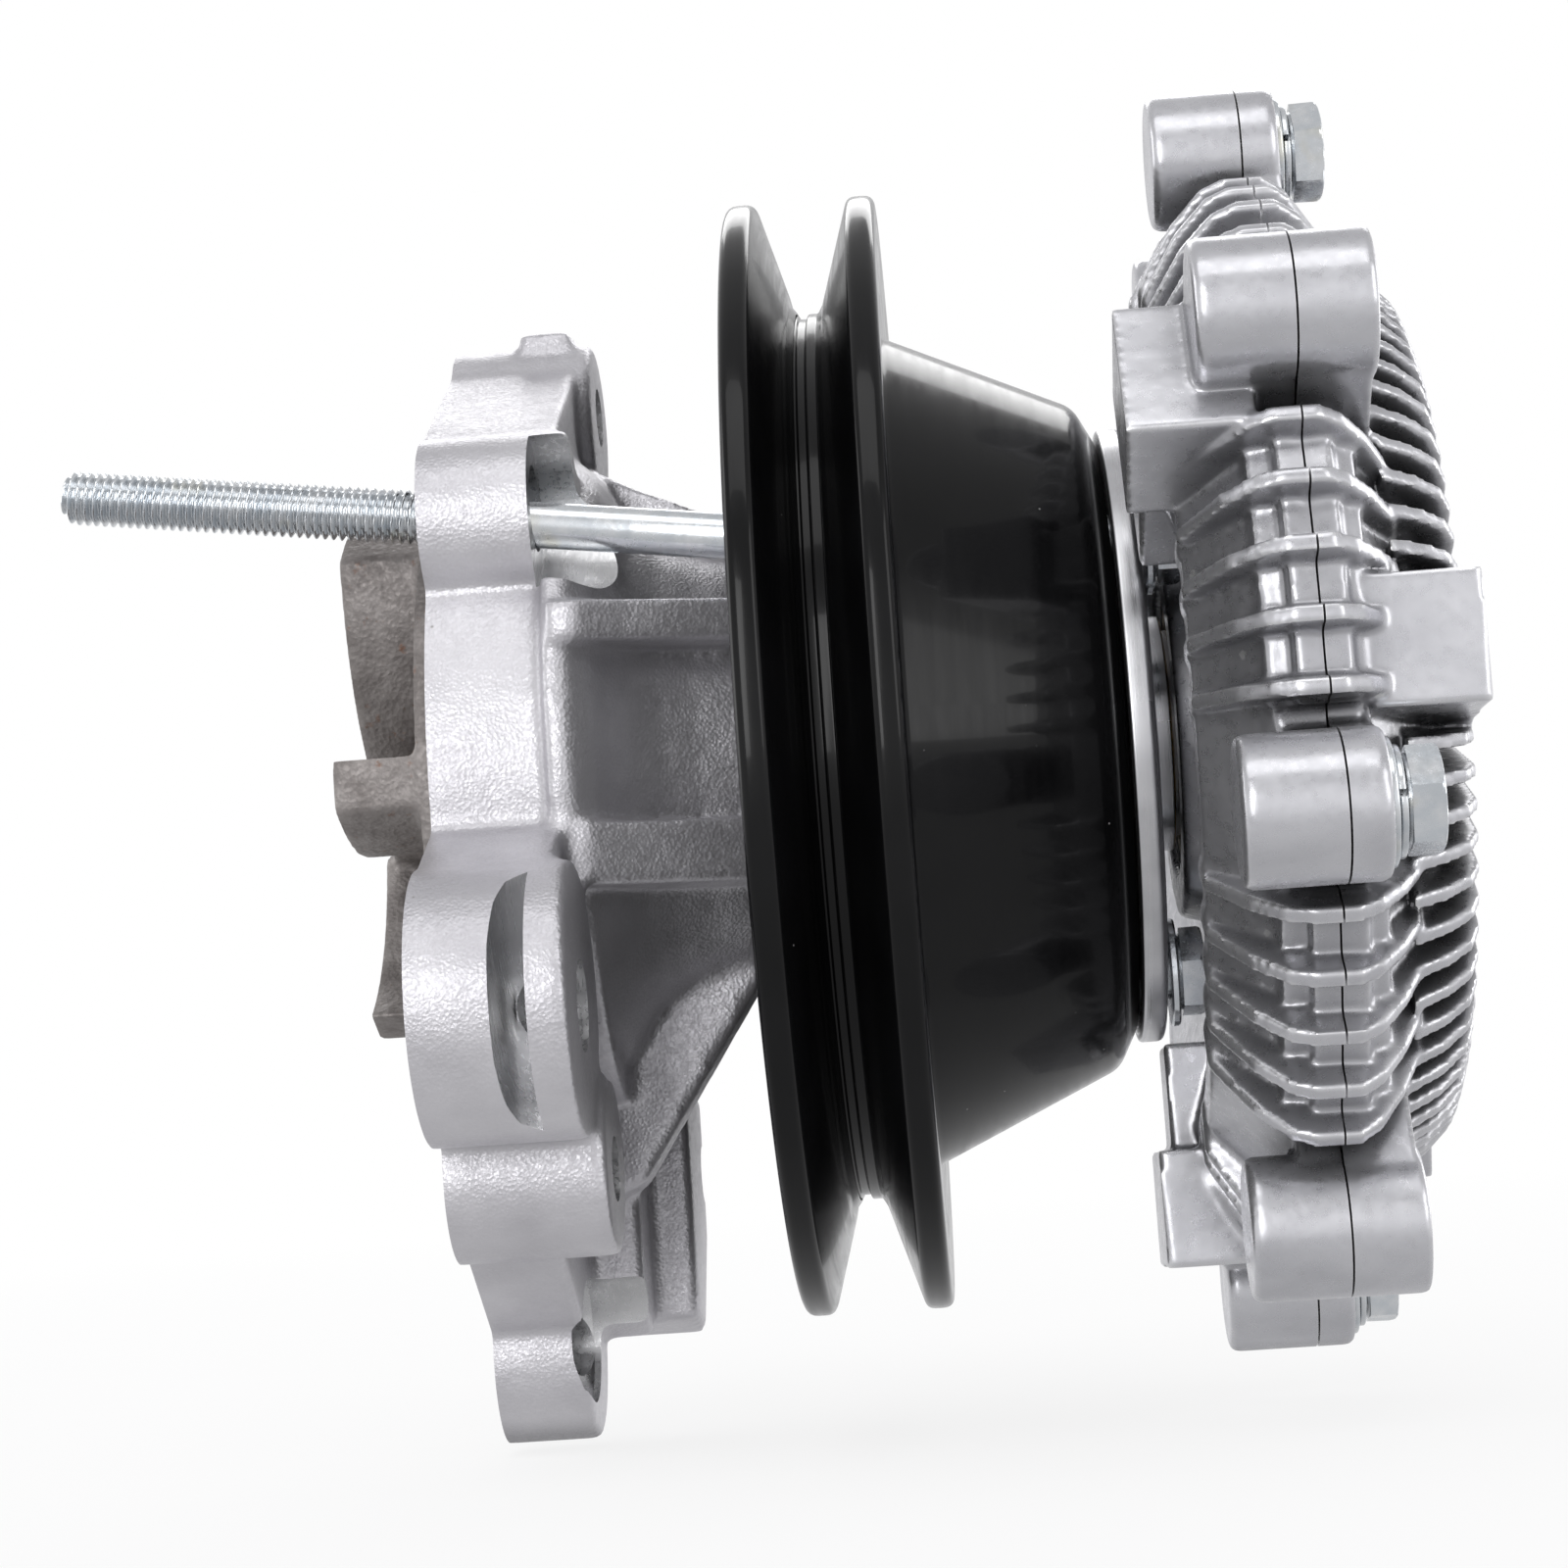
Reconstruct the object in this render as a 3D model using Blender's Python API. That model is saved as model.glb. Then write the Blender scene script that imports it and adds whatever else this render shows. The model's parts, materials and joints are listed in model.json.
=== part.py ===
"""Engine water pump with a V-belt pulley and a finned viscous fan clutch.

Frame: metres, +Z up. The shaft runs along +X, from the impeller to the clutch.
The origin is on the mounting (gasket) face, x = 0, straight above the shaft.
Sizes below are millimetres, measured from where the shaft's axis meets that
face; put_origin_on_face() lowers the finished pump to the frame's own origin.
Polar angles are measured about the shaft from -Y towards +Z.
"""
import math

import bmesh
import bpy
from mathutils import Matrix, Vector

MM = 0.001
GAP = 0.3                 # clearance between touching pieces

# Driving dimensions -------------------------------------------------------
FINE, MEDIUM, COARSE = 32, 24, 12      # segments of large, middle and small rounds

SHAFT_R = 7.95
SHAFT_START, SHAFT_END = -12.0, 95.0
IMPELLER_R = 41.5
IMPELLER_BLADES = 6
FIRST_BLADE = 18.0        # polar angle of a blade's inner end
FLANGE_T = 22.0           # thickness of the mounting flange
BEARING_START, BEARING_END = 24.5, 64.5
BEARING_R = 15.0
BALL_R, BALL_PITCH_R = 2.6, 10.0
BALL_ROWS = (34.5, 54.5)
BALLS_PER_ROW = 6
RACE_CLEARANCE = 0.3
SHAFT_DEPTH = 48.8        # the shaft's axis below the origin
TRIM = 0.7                # stock left past a joint face before it is cut flat

PULLEY_X, PULLEY_WIDTH, PULLEY_R = 46.0, 22.0, 84.0
GROOVE_ROOT_R = 67.0
BOWL_END = 98.2
BOLT_CIRCLE_R = 37.5      # bolts that clamp pulley and clutch together
FLANGE_BOLT_ANGLES = (43.0, 163.0, 283.0)

CLUTCH_FLANGE_R = 46.5
PARTING_X = 122.5         # plane where the clutch halves meet
FIN_R = 82.0
CORE_R = 75.0
BOSS_CIRCLE_R = 85.5
BOSS_R = 9.8
BOLTED_BOSSES = (81.0, 167.0, 261.0, 347.0)
FAN_BOSSES = (34.5, 120.5, 214.5, 300.5)
FINS_PER_SECTOR = 5
FIRST_FIN = 10.5          # degrees from a boss to its first fin
REAR_PADS = (32.0, 152.0, 272.0)       # chucking pads, three on each half
FRONT_PADS = (2.0, 122.0, 242.0)
CLUTCH_BALL_R, CLUTCH_PITCH_R, CLUTCH_BALL_X = 3.4, 18.0, 113.0
CLUTCH_BALLS = 7

LONG_BOLT_POINT = (16.0, -33.0, 35.1)   # where its axis passes the seat
LONG_BOLT_TILT = 7.8      # degrees of droop towards the pulley
LONG_BOLT_TIP, LONG_BOLT_HEAD = -69.5, 44.0   # along the bolt, from that point

# Materials: colour, roughness, metallic -----------------------------------
MATERIALS = {
    "cast_aluminium": ((0.62, 0.62, 0.63), 0.50, 1.0),
    "die_cast_aluminium": ((0.66, 0.67, 0.69), 0.36, 1.0),
    "machined_aluminium": ((0.74, 0.75, 0.77), 0.28, 1.0),
    "cast_iron": ((0.21, 0.18, 0.165), 0.70, 0.8),
    "bearing_steel": ((0.60, 0.61, 0.62), 0.20, 1.0),
    "polished_ball_steel": ((0.75, 0.76, 0.78), 0.08, 1.0),
    "brass_cage": ((0.62, 0.45, 0.20), 0.35, 1.0),
    "black_paint": ((0.012, 0.012, 0.013), 0.22, 0.0),
    "zinc_plate": ((0.70, 0.73, 0.76), 0.25, 1.0),
    "machined_steel": ((0.48, 0.48, 0.49), 0.35, 1.0),
    "stainless_sheet": ((0.63, 0.62, 0.60), 0.30, 1.0),
    "seal_rubber": ((0.02, 0.02, 0.02), 0.75, 0.0),
    "seal_carbon": ((0.05, 0.05, 0.055), 0.45, 0.0),
    "seal_ceramic": ((0.85, 0.83, 0.78), 0.25, 0.0),
    "spring_steel": ((0.52, 0.53, 0.55), 0.25, 1.0),
    "bimetal_strip": ((0.55, 0.47, 0.36), 0.35, 1.0),
}


# Mesh helpers --------------------------------------------------------------
def polar(radius, degrees):
    """A (y, z) point at a polar angle about the shaft."""
    angle = math.radians(degrees)
    return -radius * math.cos(angle), radius * math.sin(angle)


def add_revolved(bm, profile, segments, centre=(0.0, 0.0)):
    """Turn a closed (x, radius) loop about an axis along X through centre."""
    rings = []
    for x, radius in profile:
        if radius == 0.0:
            rings.append([bm.verts.new((x, centre[0], centre[1]))])
            continue
        ring = []
        for step in range(segments):
            y, z = polar(radius, 360.0 * step / segments)
            ring.append(bm.verts.new((x, centre[0] + y, centre[1] + z)))
        rings.append(ring)
    for index, ring in enumerate(rings):
        following = rings[(index + 1) % len(rings)]
        if len(ring) == 1 and len(following) == 1:
            continue
        for step in range(segments):
            after = (step + 1) % segments
            corners = [ring[step % len(ring)], following[step % len(following)]]
            if len(following) > 1:
                corners.append(following[after])
            if len(ring) > 1:
                corners.append(ring[after])
            bm.faces.new(corners)


def add_prism(bm, outline, x_start, x_end):
    """Extrude a closed (y, z) outline along X."""
    start = [bm.verts.new((x_start, y, z)) for y, z in outline]
    end = [bm.verts.new((x_end, y, z)) for y, z in outline]
    bm.faces.new(start)
    bm.faces.new(end)
    for index in range(len(outline)):
        after = (index + 1) % len(outline)
        bm.faces.new((start[index], start[after], end[after], end[index]))


def add_radial_plate(bm, outline, thickness, degrees, offset=0.0):
    """A flat plate that stands on the shaft's radius; outline is (x, radius)."""
    angle = math.radians(degrees)
    outward = Vector((0.0, -math.cos(angle), math.sin(angle)))
    across = Vector((0.0, math.sin(angle), math.cos(angle)))
    sides = []
    for side in (offset - thickness / 2.0, offset + thickness / 2.0):
        points = [Vector((x, 0.0, 0.0)) + outward * r + across * side for x, r in outline]
        sides.append([bm.verts.new(point) for point in points])
    bm.faces.new(sides[0])
    bm.faces.new(sides[1])
    for index in range(len(outline)):
        after = (index + 1) % len(outline)
        bm.faces.new((sides[0][index], sides[0][after], sides[1][after], sides[1][index]))


def tube_profile(x_start, x_end, inner, outer):
    return [(x_start, inner), (x_start, outer), (x_end, outer), (x_end, inner)]


def disc_profile(x_start, x_end, radius):
    return [(x_start, 0.0), (x_start, radius), (x_end, radius), (x_end, 0.0)]


def finish_mesh(bm, name):
    """Turn a bmesh in millimetres into an object with outward faces, in metres."""
    bmesh.ops.remove_doubles(bm, verts=bm.verts, dist=0.001)
    bmesh.ops.recalc_face_normals(bm, faces=bm.faces)
    bmesh.ops.scale(bm, vec=(MM, MM, MM), verts=bm.verts)
    mesh = bpy.data.meshes.new(name)
    bm.to_mesh(mesh)
    bm.free()
    obj = bpy.data.objects.new(name, mesh)
    bpy.context.scene.collection.objects.link(obj)
    return obj


def revolved(name, profile, segments):
    bm = bmesh.new()
    add_revolved(bm, profile, segments)
    return finish_mesh(bm, name)


def hide_tool(obj):
    """Mark an operand of a Boolean, which isn't part of the pump."""
    obj.hide_render = True
    obj.display_type = "WIRE"
    return obj


def combine(obj, tools, operation):
    """One exact Boolean of an object with a collection of tools."""
    collection = bpy.data.collections.new(f"{obj.name}_{operation.lower()}")
    bpy.context.scene.collection.children.link(collection)
    for tool in tools:
        bpy.context.scene.collection.objects.unlink(tool)
        collection.objects.link(hide_tool(tool))
    modifier = obj.modifiers.new(collection.name, "BOOLEAN")
    modifier.operation = operation
    modifier.operand_type = "COLLECTION"
    modifier.collection = collection
    return obj


def cut(obj, *tools):
    return combine(obj, tools, "DIFFERENCE")


def join(obj, *tools):
    return combine(obj, tools, "UNION")


def dress(obj, material):
    """Give an object its material and smooth shading with sharp edges."""
    colour, roughness, metallic = MATERIALS[material]
    slot = bpy.data.materials.get(material)
    if slot is None:
        slot = bpy.data.materials.new(material)
        slot.use_nodes = True
        shader = slot.node_tree.nodes["Principled BSDF"]
        shader.inputs["Base Color"].default_value = (*colour, 1.0)
        shader.inputs["Roughness"].default_value = roughness
        shader.inputs["Metallic"].default_value = metallic
    obj.data.materials.append(slot)
    obj.data.shade_smooth()
    obj.data.set_sharp_from_angle(angle=math.radians(35.0))
    return obj


def groove_arc(centre_x, centre_r, radius, towards_shaft, steps=3, reach=50.0):
    """Points of a ball groove, from low x to high x."""
    points = []
    sign = -1.0 if towards_shaft else 1.0
    for step in range(steps + 1):
        angle = math.radians(-reach + 2.0 * reach * step / steps)
        x = centre_x + radius * math.sin(angle)
        points.append((x, centre_r + sign * radius * math.cos(angle)))
    return points


def cylinder_tool(name, places, x_start, x_end, radius, segments=COARSE):
    """One or more cylinders along X, at (y, z) places."""
    bm = bmesh.new()
    for place in places:
        add_revolved(bm, disc_profile(x_start, x_end, radius), segments, place)
    return finish_mesh(bm, name)


# Pump body -----------------------------------------------------------------
LUGS = (                  # y, z, radius, end x of the flange's lugs
    (13.0, 56.5, 13.0, FLANGE_T - 0.4),
    (-30.0, 35.0, 12.5, FLANGE_T - 0.8),
    (-58.0, -36.0, 19.0, FLANGE_T - 0.6),
    (-40.0, -59.0, 12.5, FLANGE_T + 0.5),
    (-1.5, -86.5, 13.5, 14.0),
    (42.0, 36.0, 13.0, FLANGE_T - 1.0),
    (55.0, -20.0, 14.0, FLANGE_T - 1.2),
    (36.0, -61.0, 13.0, FLANGE_T - 1.4),
)
CLEARANCE_HOLES = ((13.0, 58.0), (-40.0, -59.5), (-3.0, -86.0), (43.0, 37.0),
                   (57.0, -20.5), (37.0, -62.5))
CLEARANCE_HOLE_R = 4.6
LONG_BOLT_HOLE = (-33.0, 36.0)
LONG_BOLT_HOLE_R = 5.8
LARGE_HOLE = (-59.0, -37.0)
RIBS = (                  # polar angle, thickness, sideways offset
    (96.0, 9.0, 0.0), (0.0, 6.0, 17.5), (0.0, 9.0, -15.5), (180.0, 7.0, 0.0),
    (228.0, 7.0, 0.0),
)
RIB_OUTLINE = ((18.0, 14.0), (18.0, 46.5), (28.5, 46.0), (61.5, 29.0), (61.5, 14.0))
GUSSET_OUTLINE = ((17.9, 16.5), (17.9, 64.5), (23.5, 62.5), (42.0, 34.5), (49.0, 24.0),
                  (49.0, 16.5))
GUSSET_ANGLE, GUSSET_T = 276.0, 8.0


def build_lug_tools():
    tools = []
    for number, (y, z, radius, end) in enumerate(LUGS):
        bm = bmesh.new()
        add_revolved(bm, disc_profile(-TRIM - 0.05 * number, end, radius), 16, (y, z))
        tools.append(finish_mesh(bm, f"lug_tool_{number}"))
    bm = bmesh.new()
    add_prism(bm, [(-46.0, -40.0), (-42.0, -66.0), (-14.5, -83.0), (0.0, -86.0), (40.0, -68.0),
                   (50.0, -30.0), (0.0, -20.0)], -TRIM / 2.0, 13.6)
    tools.append(finish_mesh(bm, "leg_web_tool"))
    bm = bmesh.new()
    add_prism(bm, [(-38.0, -8.0), (-60.0, -17.5), (-62.0, -54.0), (-30.0, -56.0)],
              -TRIM / 4.0, 18.7)
    tools.append(finish_mesh(bm, "near_web_tool"))
    bm = bmesh.new()
    add_prism(bm, [(-34.0, 46.0), (13.0, 69.0), (48.0, 47.0), (0.0, 20.0)], -TRIM / 3.0, 19.4)
    tools.append(finish_mesh(bm, "top_web_tool"))
    return tools


def build_rib_tools():
    tools = []
    for number, (angle, thickness, offset) in enumerate(RIBS):
        bm = bmesh.new()
        add_radial_plate(bm, RIB_OUTLINE, thickness, angle, offset)
        tools.append(finish_mesh(bm, f"rib_tool_{number}"))
    bm = bmesh.new()
    add_radial_plate(bm, GUSSET_OUTLINE, GUSSET_T, GUSSET_ANGLE)
    tools.append(finish_mesh(bm, "gusset_tool"))
    return tools


def build_pump_body():
    bm = bmesh.new()
    add_revolved(bm, disc_profile(-TRIM, FLANGE_T, 49.5), FINE, (4.5, -3.0))
    body = finish_mesh(bm, "pump_body")
    join(body, *build_lug_tools(), *build_rib_tools(), build_snout_tool(), build_outlet_tool())
    cut(body,
        cylinder_tool("gasket_face_tool", [(0.0, 0.0)], -5.0, 0.0, 140.0),
        build_bore_tool(),
        cylinder_tool("bolt_hole_tool", CLEARANCE_HOLES, -2.0, 34.0, CLEARANCE_HOLE_R),
        cylinder_tool("long_bolt_hole_tool", [LONG_BOLT_HOLE], -2.0, 34.0, LONG_BOLT_HOLE_R),
        cylinder_tool("long_bolt_seat_tool", [(-36.5, 35.0)], 16.0, 40.0, 11.5, 16),
        cylinder_tool("large_hole_tool", [LARGE_HOLE], -2.0, 34.0, 6.4),
        cylinder_tool("large_seat_tool", [(-66.0, -37.5)], 12.0, 15.8, 15.5, 16),
        cylinder_tool("leg_seat_tool", [(-7.0, -85.0)], 11.6, 24.0, 9.0))
    return dress(body, "cast_aluminium")


def build_snout_tool():
    """The bearing housing, flaring into the flange."""
    bm = bmesh.new()
    profile = [(17.0, 0.0), (17.0, 46.0), (22.5, 43.0), (26.0, 33.0), (33.0, 28.5),
               (42.0, 26.5), (65.0, 24.0), (65.0, 0.0)]
    add_revolved(bm, profile, MEDIUM)
    return finish_mesh(bm, "snout_tool")


def build_outlet_tool():
    """The hollow boss low on the far side, and the pad on top of the flange."""
    bm = bmesh.new()
    add_prism(bm, [(-4.0, -30.0), (-4.0, -80.0), (6.0, -86.0), (26.0, -83.0), (42.0, -66.0),
                   (46.0, -30.0)], 13.0, 21.5)
    add_prism(bm, [(12.0, -50.0), (12.0, -84.0), (24.0, -87.0), (38.0, -73.0), (40.0, -50.0)],
              13.1, 28.2)
    add_prism(bm, [(5.0, 60.0), (6.0, 71.0), (20.0, 71.0), (21.0, 60.0)], 10.5, 18.5)
    return finish_mesh(bm, "outlet_tool")


def build_bore_tool():
    """Impeller chamber, seal bore, weep chamber and bearing bore."""
    bearing_bore = BEARING_R + GAP
    profile = [(-2.0, 0.0), (-2.0, 43.0), (4.0, 43.0), (8.0, 24.0), (8.0, 18.3), (20.5, 18.3),
               (20.5, 13.5), (BEARING_START - GAP, 13.5), (BEARING_START - GAP, bearing_bore),
               (68.0, bearing_bore), (68.0, 0.0)]
    bm = bmesh.new()
    add_revolved(bm, profile, MEDIUM)
    return finish_mesh(bm, "bore_tool")


# Shaft bearing ---------------------------------------------------------------
def build_bearing_sleeve():
    inner = 12.1
    profile = [(BEARING_START, inner), (BEARING_START, BEARING_R), (BEARING_END, BEARING_R),
               (BEARING_END, inner)]
    for row in reversed(BALL_ROWS):
        arc = groove_arc(row, BALL_PITCH_R, BALL_R + RACE_CLEARANCE, False, reach=42.0)
        profile.extend(reversed(arc))
    sleeve = revolved("bearing_sleeve", profile, MEDIUM)
    return dress(sleeve, "bearing_steel")


def build_bearing_shield(name, x_start):
    shield = revolved(name, tube_profile(x_start, x_start + 0.6, 8.4, 11.7), MEDIUM)
    return dress(shield, "seal_rubber")


def build_cage(name, centre_x, width, inner, outer, pitch_r, ball_r, count, segments):
    """A ring with one radial pocket for each ball."""
    cage = revolved(name, tube_profile(centre_x - width / 2.0, centre_x + width / 2.0,
                                       inner, outer), segments)
    bm = bmesh.new()
    pocket_r = ball_r + 0.7
    for index in range(count):
        turn = Matrix.Rotation(-math.radians(360.0 * index / count), 4, "X")
        place = Matrix.Translation((centre_x, -pitch_r, 0.0))
        quarter = Matrix.Rotation(math.radians(90.0), 4, "X")
        bmesh.ops.create_cone(bm, cap_ends=True, segments=8, radius1=pocket_r,
                              radius2=pocket_r, depth=2.4 * ball_r,
                              matrix=turn @ place @ quarter)
    cut(cage, finish_mesh(bm, f"{name}_pocket_tool"))
    return dress(cage, "brass_cage")


def build_balls(name, centre_x, pitch_r, ball_r, count, first_number, digits):
    """Bearing balls, each its own object, sharing one mesh."""
    bm = bmesh.new()
    bmesh.ops.create_icosphere(bm, subdivisions=2, radius=ball_r)
    master = None
    for index in range(count):
        number = str(first_number + index).zfill(digits)
        if master is None:
            ball = finish_mesh(bm, f"{name}_{number}")
            dress(ball, "polished_ball_steel")
            master = ball
        else:
            ball = bpy.data.objects.new(f"{name}_{number}", master.data)
            bpy.context.scene.collection.objects.link(ball)
        y, z = polar(pitch_r, 360.0 * index / count)
        ball.location = (centre_x * MM, y * MM, z * MM)


# Shaft seal --------------------------------------------------------------------
def build_seal():
    cup = revolved("seal_cup", [(9.0, 17.4), (9.0, 18.0), (19.9, 18.0), (19.9, 9.2),
                                (19.3, 9.2), (19.3, 17.4)], MEDIUM)
    dress(cup, "stainless_sheet")
    build_bellows()
    build_seal_spring()
    ring = revolved("carbon_ring", [(8.6, 9.6), (8.6, 12.4), (10.4, 12.4), (10.4, 13.6),
                                    (12.2, 13.6), (12.2, 9.6)], MEDIUM)
    dress(ring, "seal_carbon")
    seat = revolved("ceramic_seat", tube_profile(5.3, 8.3, 9.7, 13.4), MEDIUM)
    dress(seat, "seal_ceramic")
    boot = revolved("seat_boot", [(3.4, 8.25), (3.4, 13.4), (5.0, 13.4), (5.0, 9.4),
                                  (7.6, 9.4), (7.6, 8.25)], MEDIUM)
    dress(boot, "seal_rubber")


def build_bellows():
    """Folded rubber sleeve between the carbon ring and the cup."""
    wall, low, high = 0.8, 9.6, 12.0
    xs = [12.5, 14.2, 15.9, 17.6, 19.0]
    outer = [(x, high + wall if index % 2 == 0 else low + 1.2 + wall)
             for index, x in enumerate(xs)]
    inner = [(x, high if index % 2 == 0 else low + 1.2) for index, x in enumerate(xs)]
    bellows = revolved("seal_bellows", outer + inner[::-1], MEDIUM)
    dress(bellows, "seal_rubber")


def build_seal_spring():
    """Coil spring around the bellows."""
    turns, steps, sides = 3.0, 42, 4
    coil_r, wire_r, x_start, x_end = 15.2, 0.6, 13.4, 18.4
    bm = bmesh.new()
    rings = []
    for step in range(steps + 1):
        share = step / steps
        angle = 2.0 * math.pi * turns * share
        centre = Vector((x_start + (x_end - x_start) * share,
                         -coil_r * math.cos(angle), coil_r * math.sin(angle)))
        outward = Vector((0.0, -math.cos(angle), math.sin(angle)))
        ring = []
        for side in range(sides):
            around = 2.0 * math.pi * side / sides
            offset = outward * math.cos(around) + Vector((1.0, 0.0, 0.0)) * math.sin(around)
            ring.append(bm.verts.new(centre + offset * wire_r))
        rings.append(ring)
    bm.faces.new(rings[0])
    bm.faces.new(rings[-1])
    for ring, following in zip(rings, rings[1:]):
        for side in range(sides):
            after = (side + 1) % sides
            bm.faces.new((ring[side], ring[after], following[after], following[side]))
    dress(finish_mesh(bm, "seal_spring"), "spring_steel")


# Pieces that turn with the shaft --------------------------------------------------
def build_pump_shaft():
    """Shaft with ball grooves cut in it and a smaller nose for the impeller."""
    profile = [(SHAFT_START, 0.0), (SHAFT_START, 6.0), (2.9, 6.0), (2.9, SHAFT_R)]
    for row in BALL_ROWS:
        profile.extend(groove_arc(row, BALL_PITCH_R, BALL_R + RACE_CLEARANCE, True, reach=42.0))
    profile.extend([(SHAFT_END - 1.0, SHAFT_R), (SHAFT_END, SHAFT_R - 1.0), (SHAFT_END, 0.0)])
    return dress(revolved("pump_shaft", profile, MEDIUM), "bearing_steel")


def blade_outline(start_angle):
    """A curved blade's outline: its leading arc out, its trailing arc back."""
    steps, sweep = 3, 38.0
    inner, outer = 10.5, IMPELLER_R
    front, back = [], []
    for step in range(steps + 1):
        share = step / steps
        radius = inner + (outer - inner) * share
        angle = start_angle + sweep * share ** 0.8
        half = math.degrees((2.0 + 1.8 * share) / radius)
        front.append(polar(radius, angle - half))
        back.append(polar(radius, angle + half))
    return front + back[::-1]


def build_impeller():
    hub = [(-12.5, 6.3), (-12.5, 11.0), (-2.4, 13.5), (-2.0, IMPELLER_R), (1.2, IMPELLER_R),
           (2.4, 12.0), (2.4, 6.3)]
    impeller = revolved("impeller", hub, FINE)
    bm = bmesh.new()
    for blade in range(IMPELLER_BLADES):
        start = FIRST_BLADE + 360.0 * blade / IMPELLER_BLADES
        add_prism(bm, blade_outline(start), -14.0, -1.0)
    join(impeller, finish_mesh(bm, "blade_tool"))
    return dress(impeller, "cast_iron")


def bolt_places(angles, radius):
    return [polar(radius, angle) for angle in angles]


def build_pulley_hub():
    hub = revolved("pulley_hub", [(68.0, SHAFT_R + GAP), (68.0, 15.5), (86.0, 16.5), (89.5, 20.0),
                                  (91.0, 43.0), (95.1, 43.5), (95.1, SHAFT_R + GAP)], MEDIUM)
    cut(hub, cylinder_tool("hub_hole_tool", bolt_places(FLANGE_BOLT_ANGLES, BOLT_CIRCLE_R),
                           85.0, 97.0, 4.25))
    return dress(hub, "machined_steel")


def build_pulley_bowl():
    """Pressed bowl with the front flange of the belt groove and the groove's root."""
    front = PULLEY_X + PULLEY_WIDTH
    outer = [(BOWL_END, 16.5), (BOWL_END, 44.5), (95.2, 50.2), (66.0, 63.4), (front, 77.5),
             (front, PULLEY_R), (front - 4.0, PULLEY_R), (58.6, GROOVE_ROOT_R),
             (PULLEY_X + 4.5, GROOVE_ROOT_R)]
    inner = [(PULLEY_X + 4.5, GROOVE_ROOT_R - 3.0), (62.0, 61.5), (69.5, 58.8), (92.6, 48.2),
             (95.4, 44.0), (95.4, 16.5)]
    bowl = revolved("pulley_bowl", outer + inner, FINE)
    cut(bowl, cylinder_tool("bowl_hole_tool", bolt_places(FLANGE_BOLT_ANGLES, BOLT_CIRCLE_R),
                            94.0, 100.0, 4.25))
    return dress(bowl, "black_paint")


def build_pulley_rear_flange():
    """Rear wall of the belt groove, pressed onto the groove's root."""
    foot = GROOVE_ROOT_R + GAP
    profile = [(PULLEY_X, PULLEY_R), (PULLEY_X + 4.0, PULLEY_R), (55.3, foot), (50.9, foot),
               (PULLEY_X, 79.0)]
    return dress(revolved("pulley_rear_flange", profile, FINE), "black_paint")


def build_clutch_shaft():
    profile = [(BOWL_END + GAP, 0.0), (BOWL_END + GAP, CLUTCH_FLANGE_R),
               (102.2, CLUTCH_FLANGE_R), (102.8, 19.6), (104.0, 17.8), (106.0, 17.8),
               (106.0, 15.6), (107.2, 15.6), (107.2, 12.2), (118.9, 12.2), (118.9, 9.7),
               (126.4, 9.7), (126.4, 0.0)]
    shaft = revolved("clutch_shaft", profile, MEDIUM)
    cut(shaft, cylinder_tool("clutch_flange_hole_tool",
                             bolt_places(FLANGE_BOLT_ANGLES, BOLT_CIRCLE_R), 96.0, 105.0, 4.25))
    return dress(shaft, "machined_aluminium")


def build_hex_bolt(name, place, sections, material="zinc_plate"):
    """A bolt along X from stacked sections: (x start, x end, radius, sides)."""
    bm = bmesh.new()
    rings = []
    for x_start, x_end, radius, sides in sections:
        for x in (x_start, x_end):
            rings.append((x, radius, sides))
    loops = []
    count = 12
    for x, radius, sides in rings:
        loop = []
        for step in range(count):
            angle = 360.0 * step / count
            reach = radius
            if sides == 6:
                reach = radius * math.cos(math.radians(30.0))
                reach /= math.cos(math.radians((angle + 30.0) % 60.0 - 30.0))
            y, z = polar(reach, angle + 11.0)
            loop.append(bm.verts.new((x, place[0] + y, place[1] + z)))
        loops.append(loop)
    bm.faces.new(loops[0])
    bm.faces.new(loops[-1])
    for loop, following in zip(loops, loops[1:]):
        for step in range(count):
            after = (step + 1) % count
            bm.faces.new((loop[step], loop[after], following[after], following[step]))
    bmesh.ops.dissolve_limit(bm, angle_limit=math.radians(1.0), verts=bm.verts, edges=bm.edges)
    return dress(finish_mesh(bm, name), material)


def build_flange_bolts():
    """Hex bolts with a collar that clamp the clutch and the pulley to the hub."""
    for number, place in enumerate(bolt_places(FLANGE_BOLT_ANGLES, BOLT_CIRCLE_R), 1):
        sections = [(90.0, 103.0, 3.9, 0), (103.1, 104.4, 8.0, 0), (104.6, 108.4, 6.9, 6)]
        build_hex_bolt(f"flange_bolt_{number}", place, sections)


def build_clutch_rotor():
    profile = [(119.3, 10.0), (119.3, 21.0), (120.3, 24.0), (120.3, 62.5), (125.3, 62.5),
               (125.3, 24.0), (126.0, 21.0), (126.0, 10.0)]
    return dress(revolved("clutch_rotor", profile, FINE), "machined_aluminium")


# Clutch bearing ---------------------------------------------------------------------
def build_clutch_bearing():
    start, end = 107.5, 118.5
    groove_r = CLUTCH_BALL_R + RACE_CLEARANCE + 0.05
    arc = groove_arc(CLUTCH_BALL_X, CLUTCH_PITCH_R, groove_r, True, reach=45.0)
    inner = [(end, 12.5), (start, 12.5), (start, 15.4)] + arc + [(end, 15.4)]
    dress(revolved("clutch_bearing_inner", inner, MEDIUM), "bearing_steel")
    arc = groove_arc(CLUTCH_BALL_X, CLUTCH_PITCH_R, groove_r, False, reach=45.0)
    outer = [(start, 20.6)] + arc + [(end, 20.6), (end, 23.5), (start, 23.5)]
    dress(revolved("clutch_bearing_outer", outer, MEDIUM), "bearing_steel")


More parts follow.
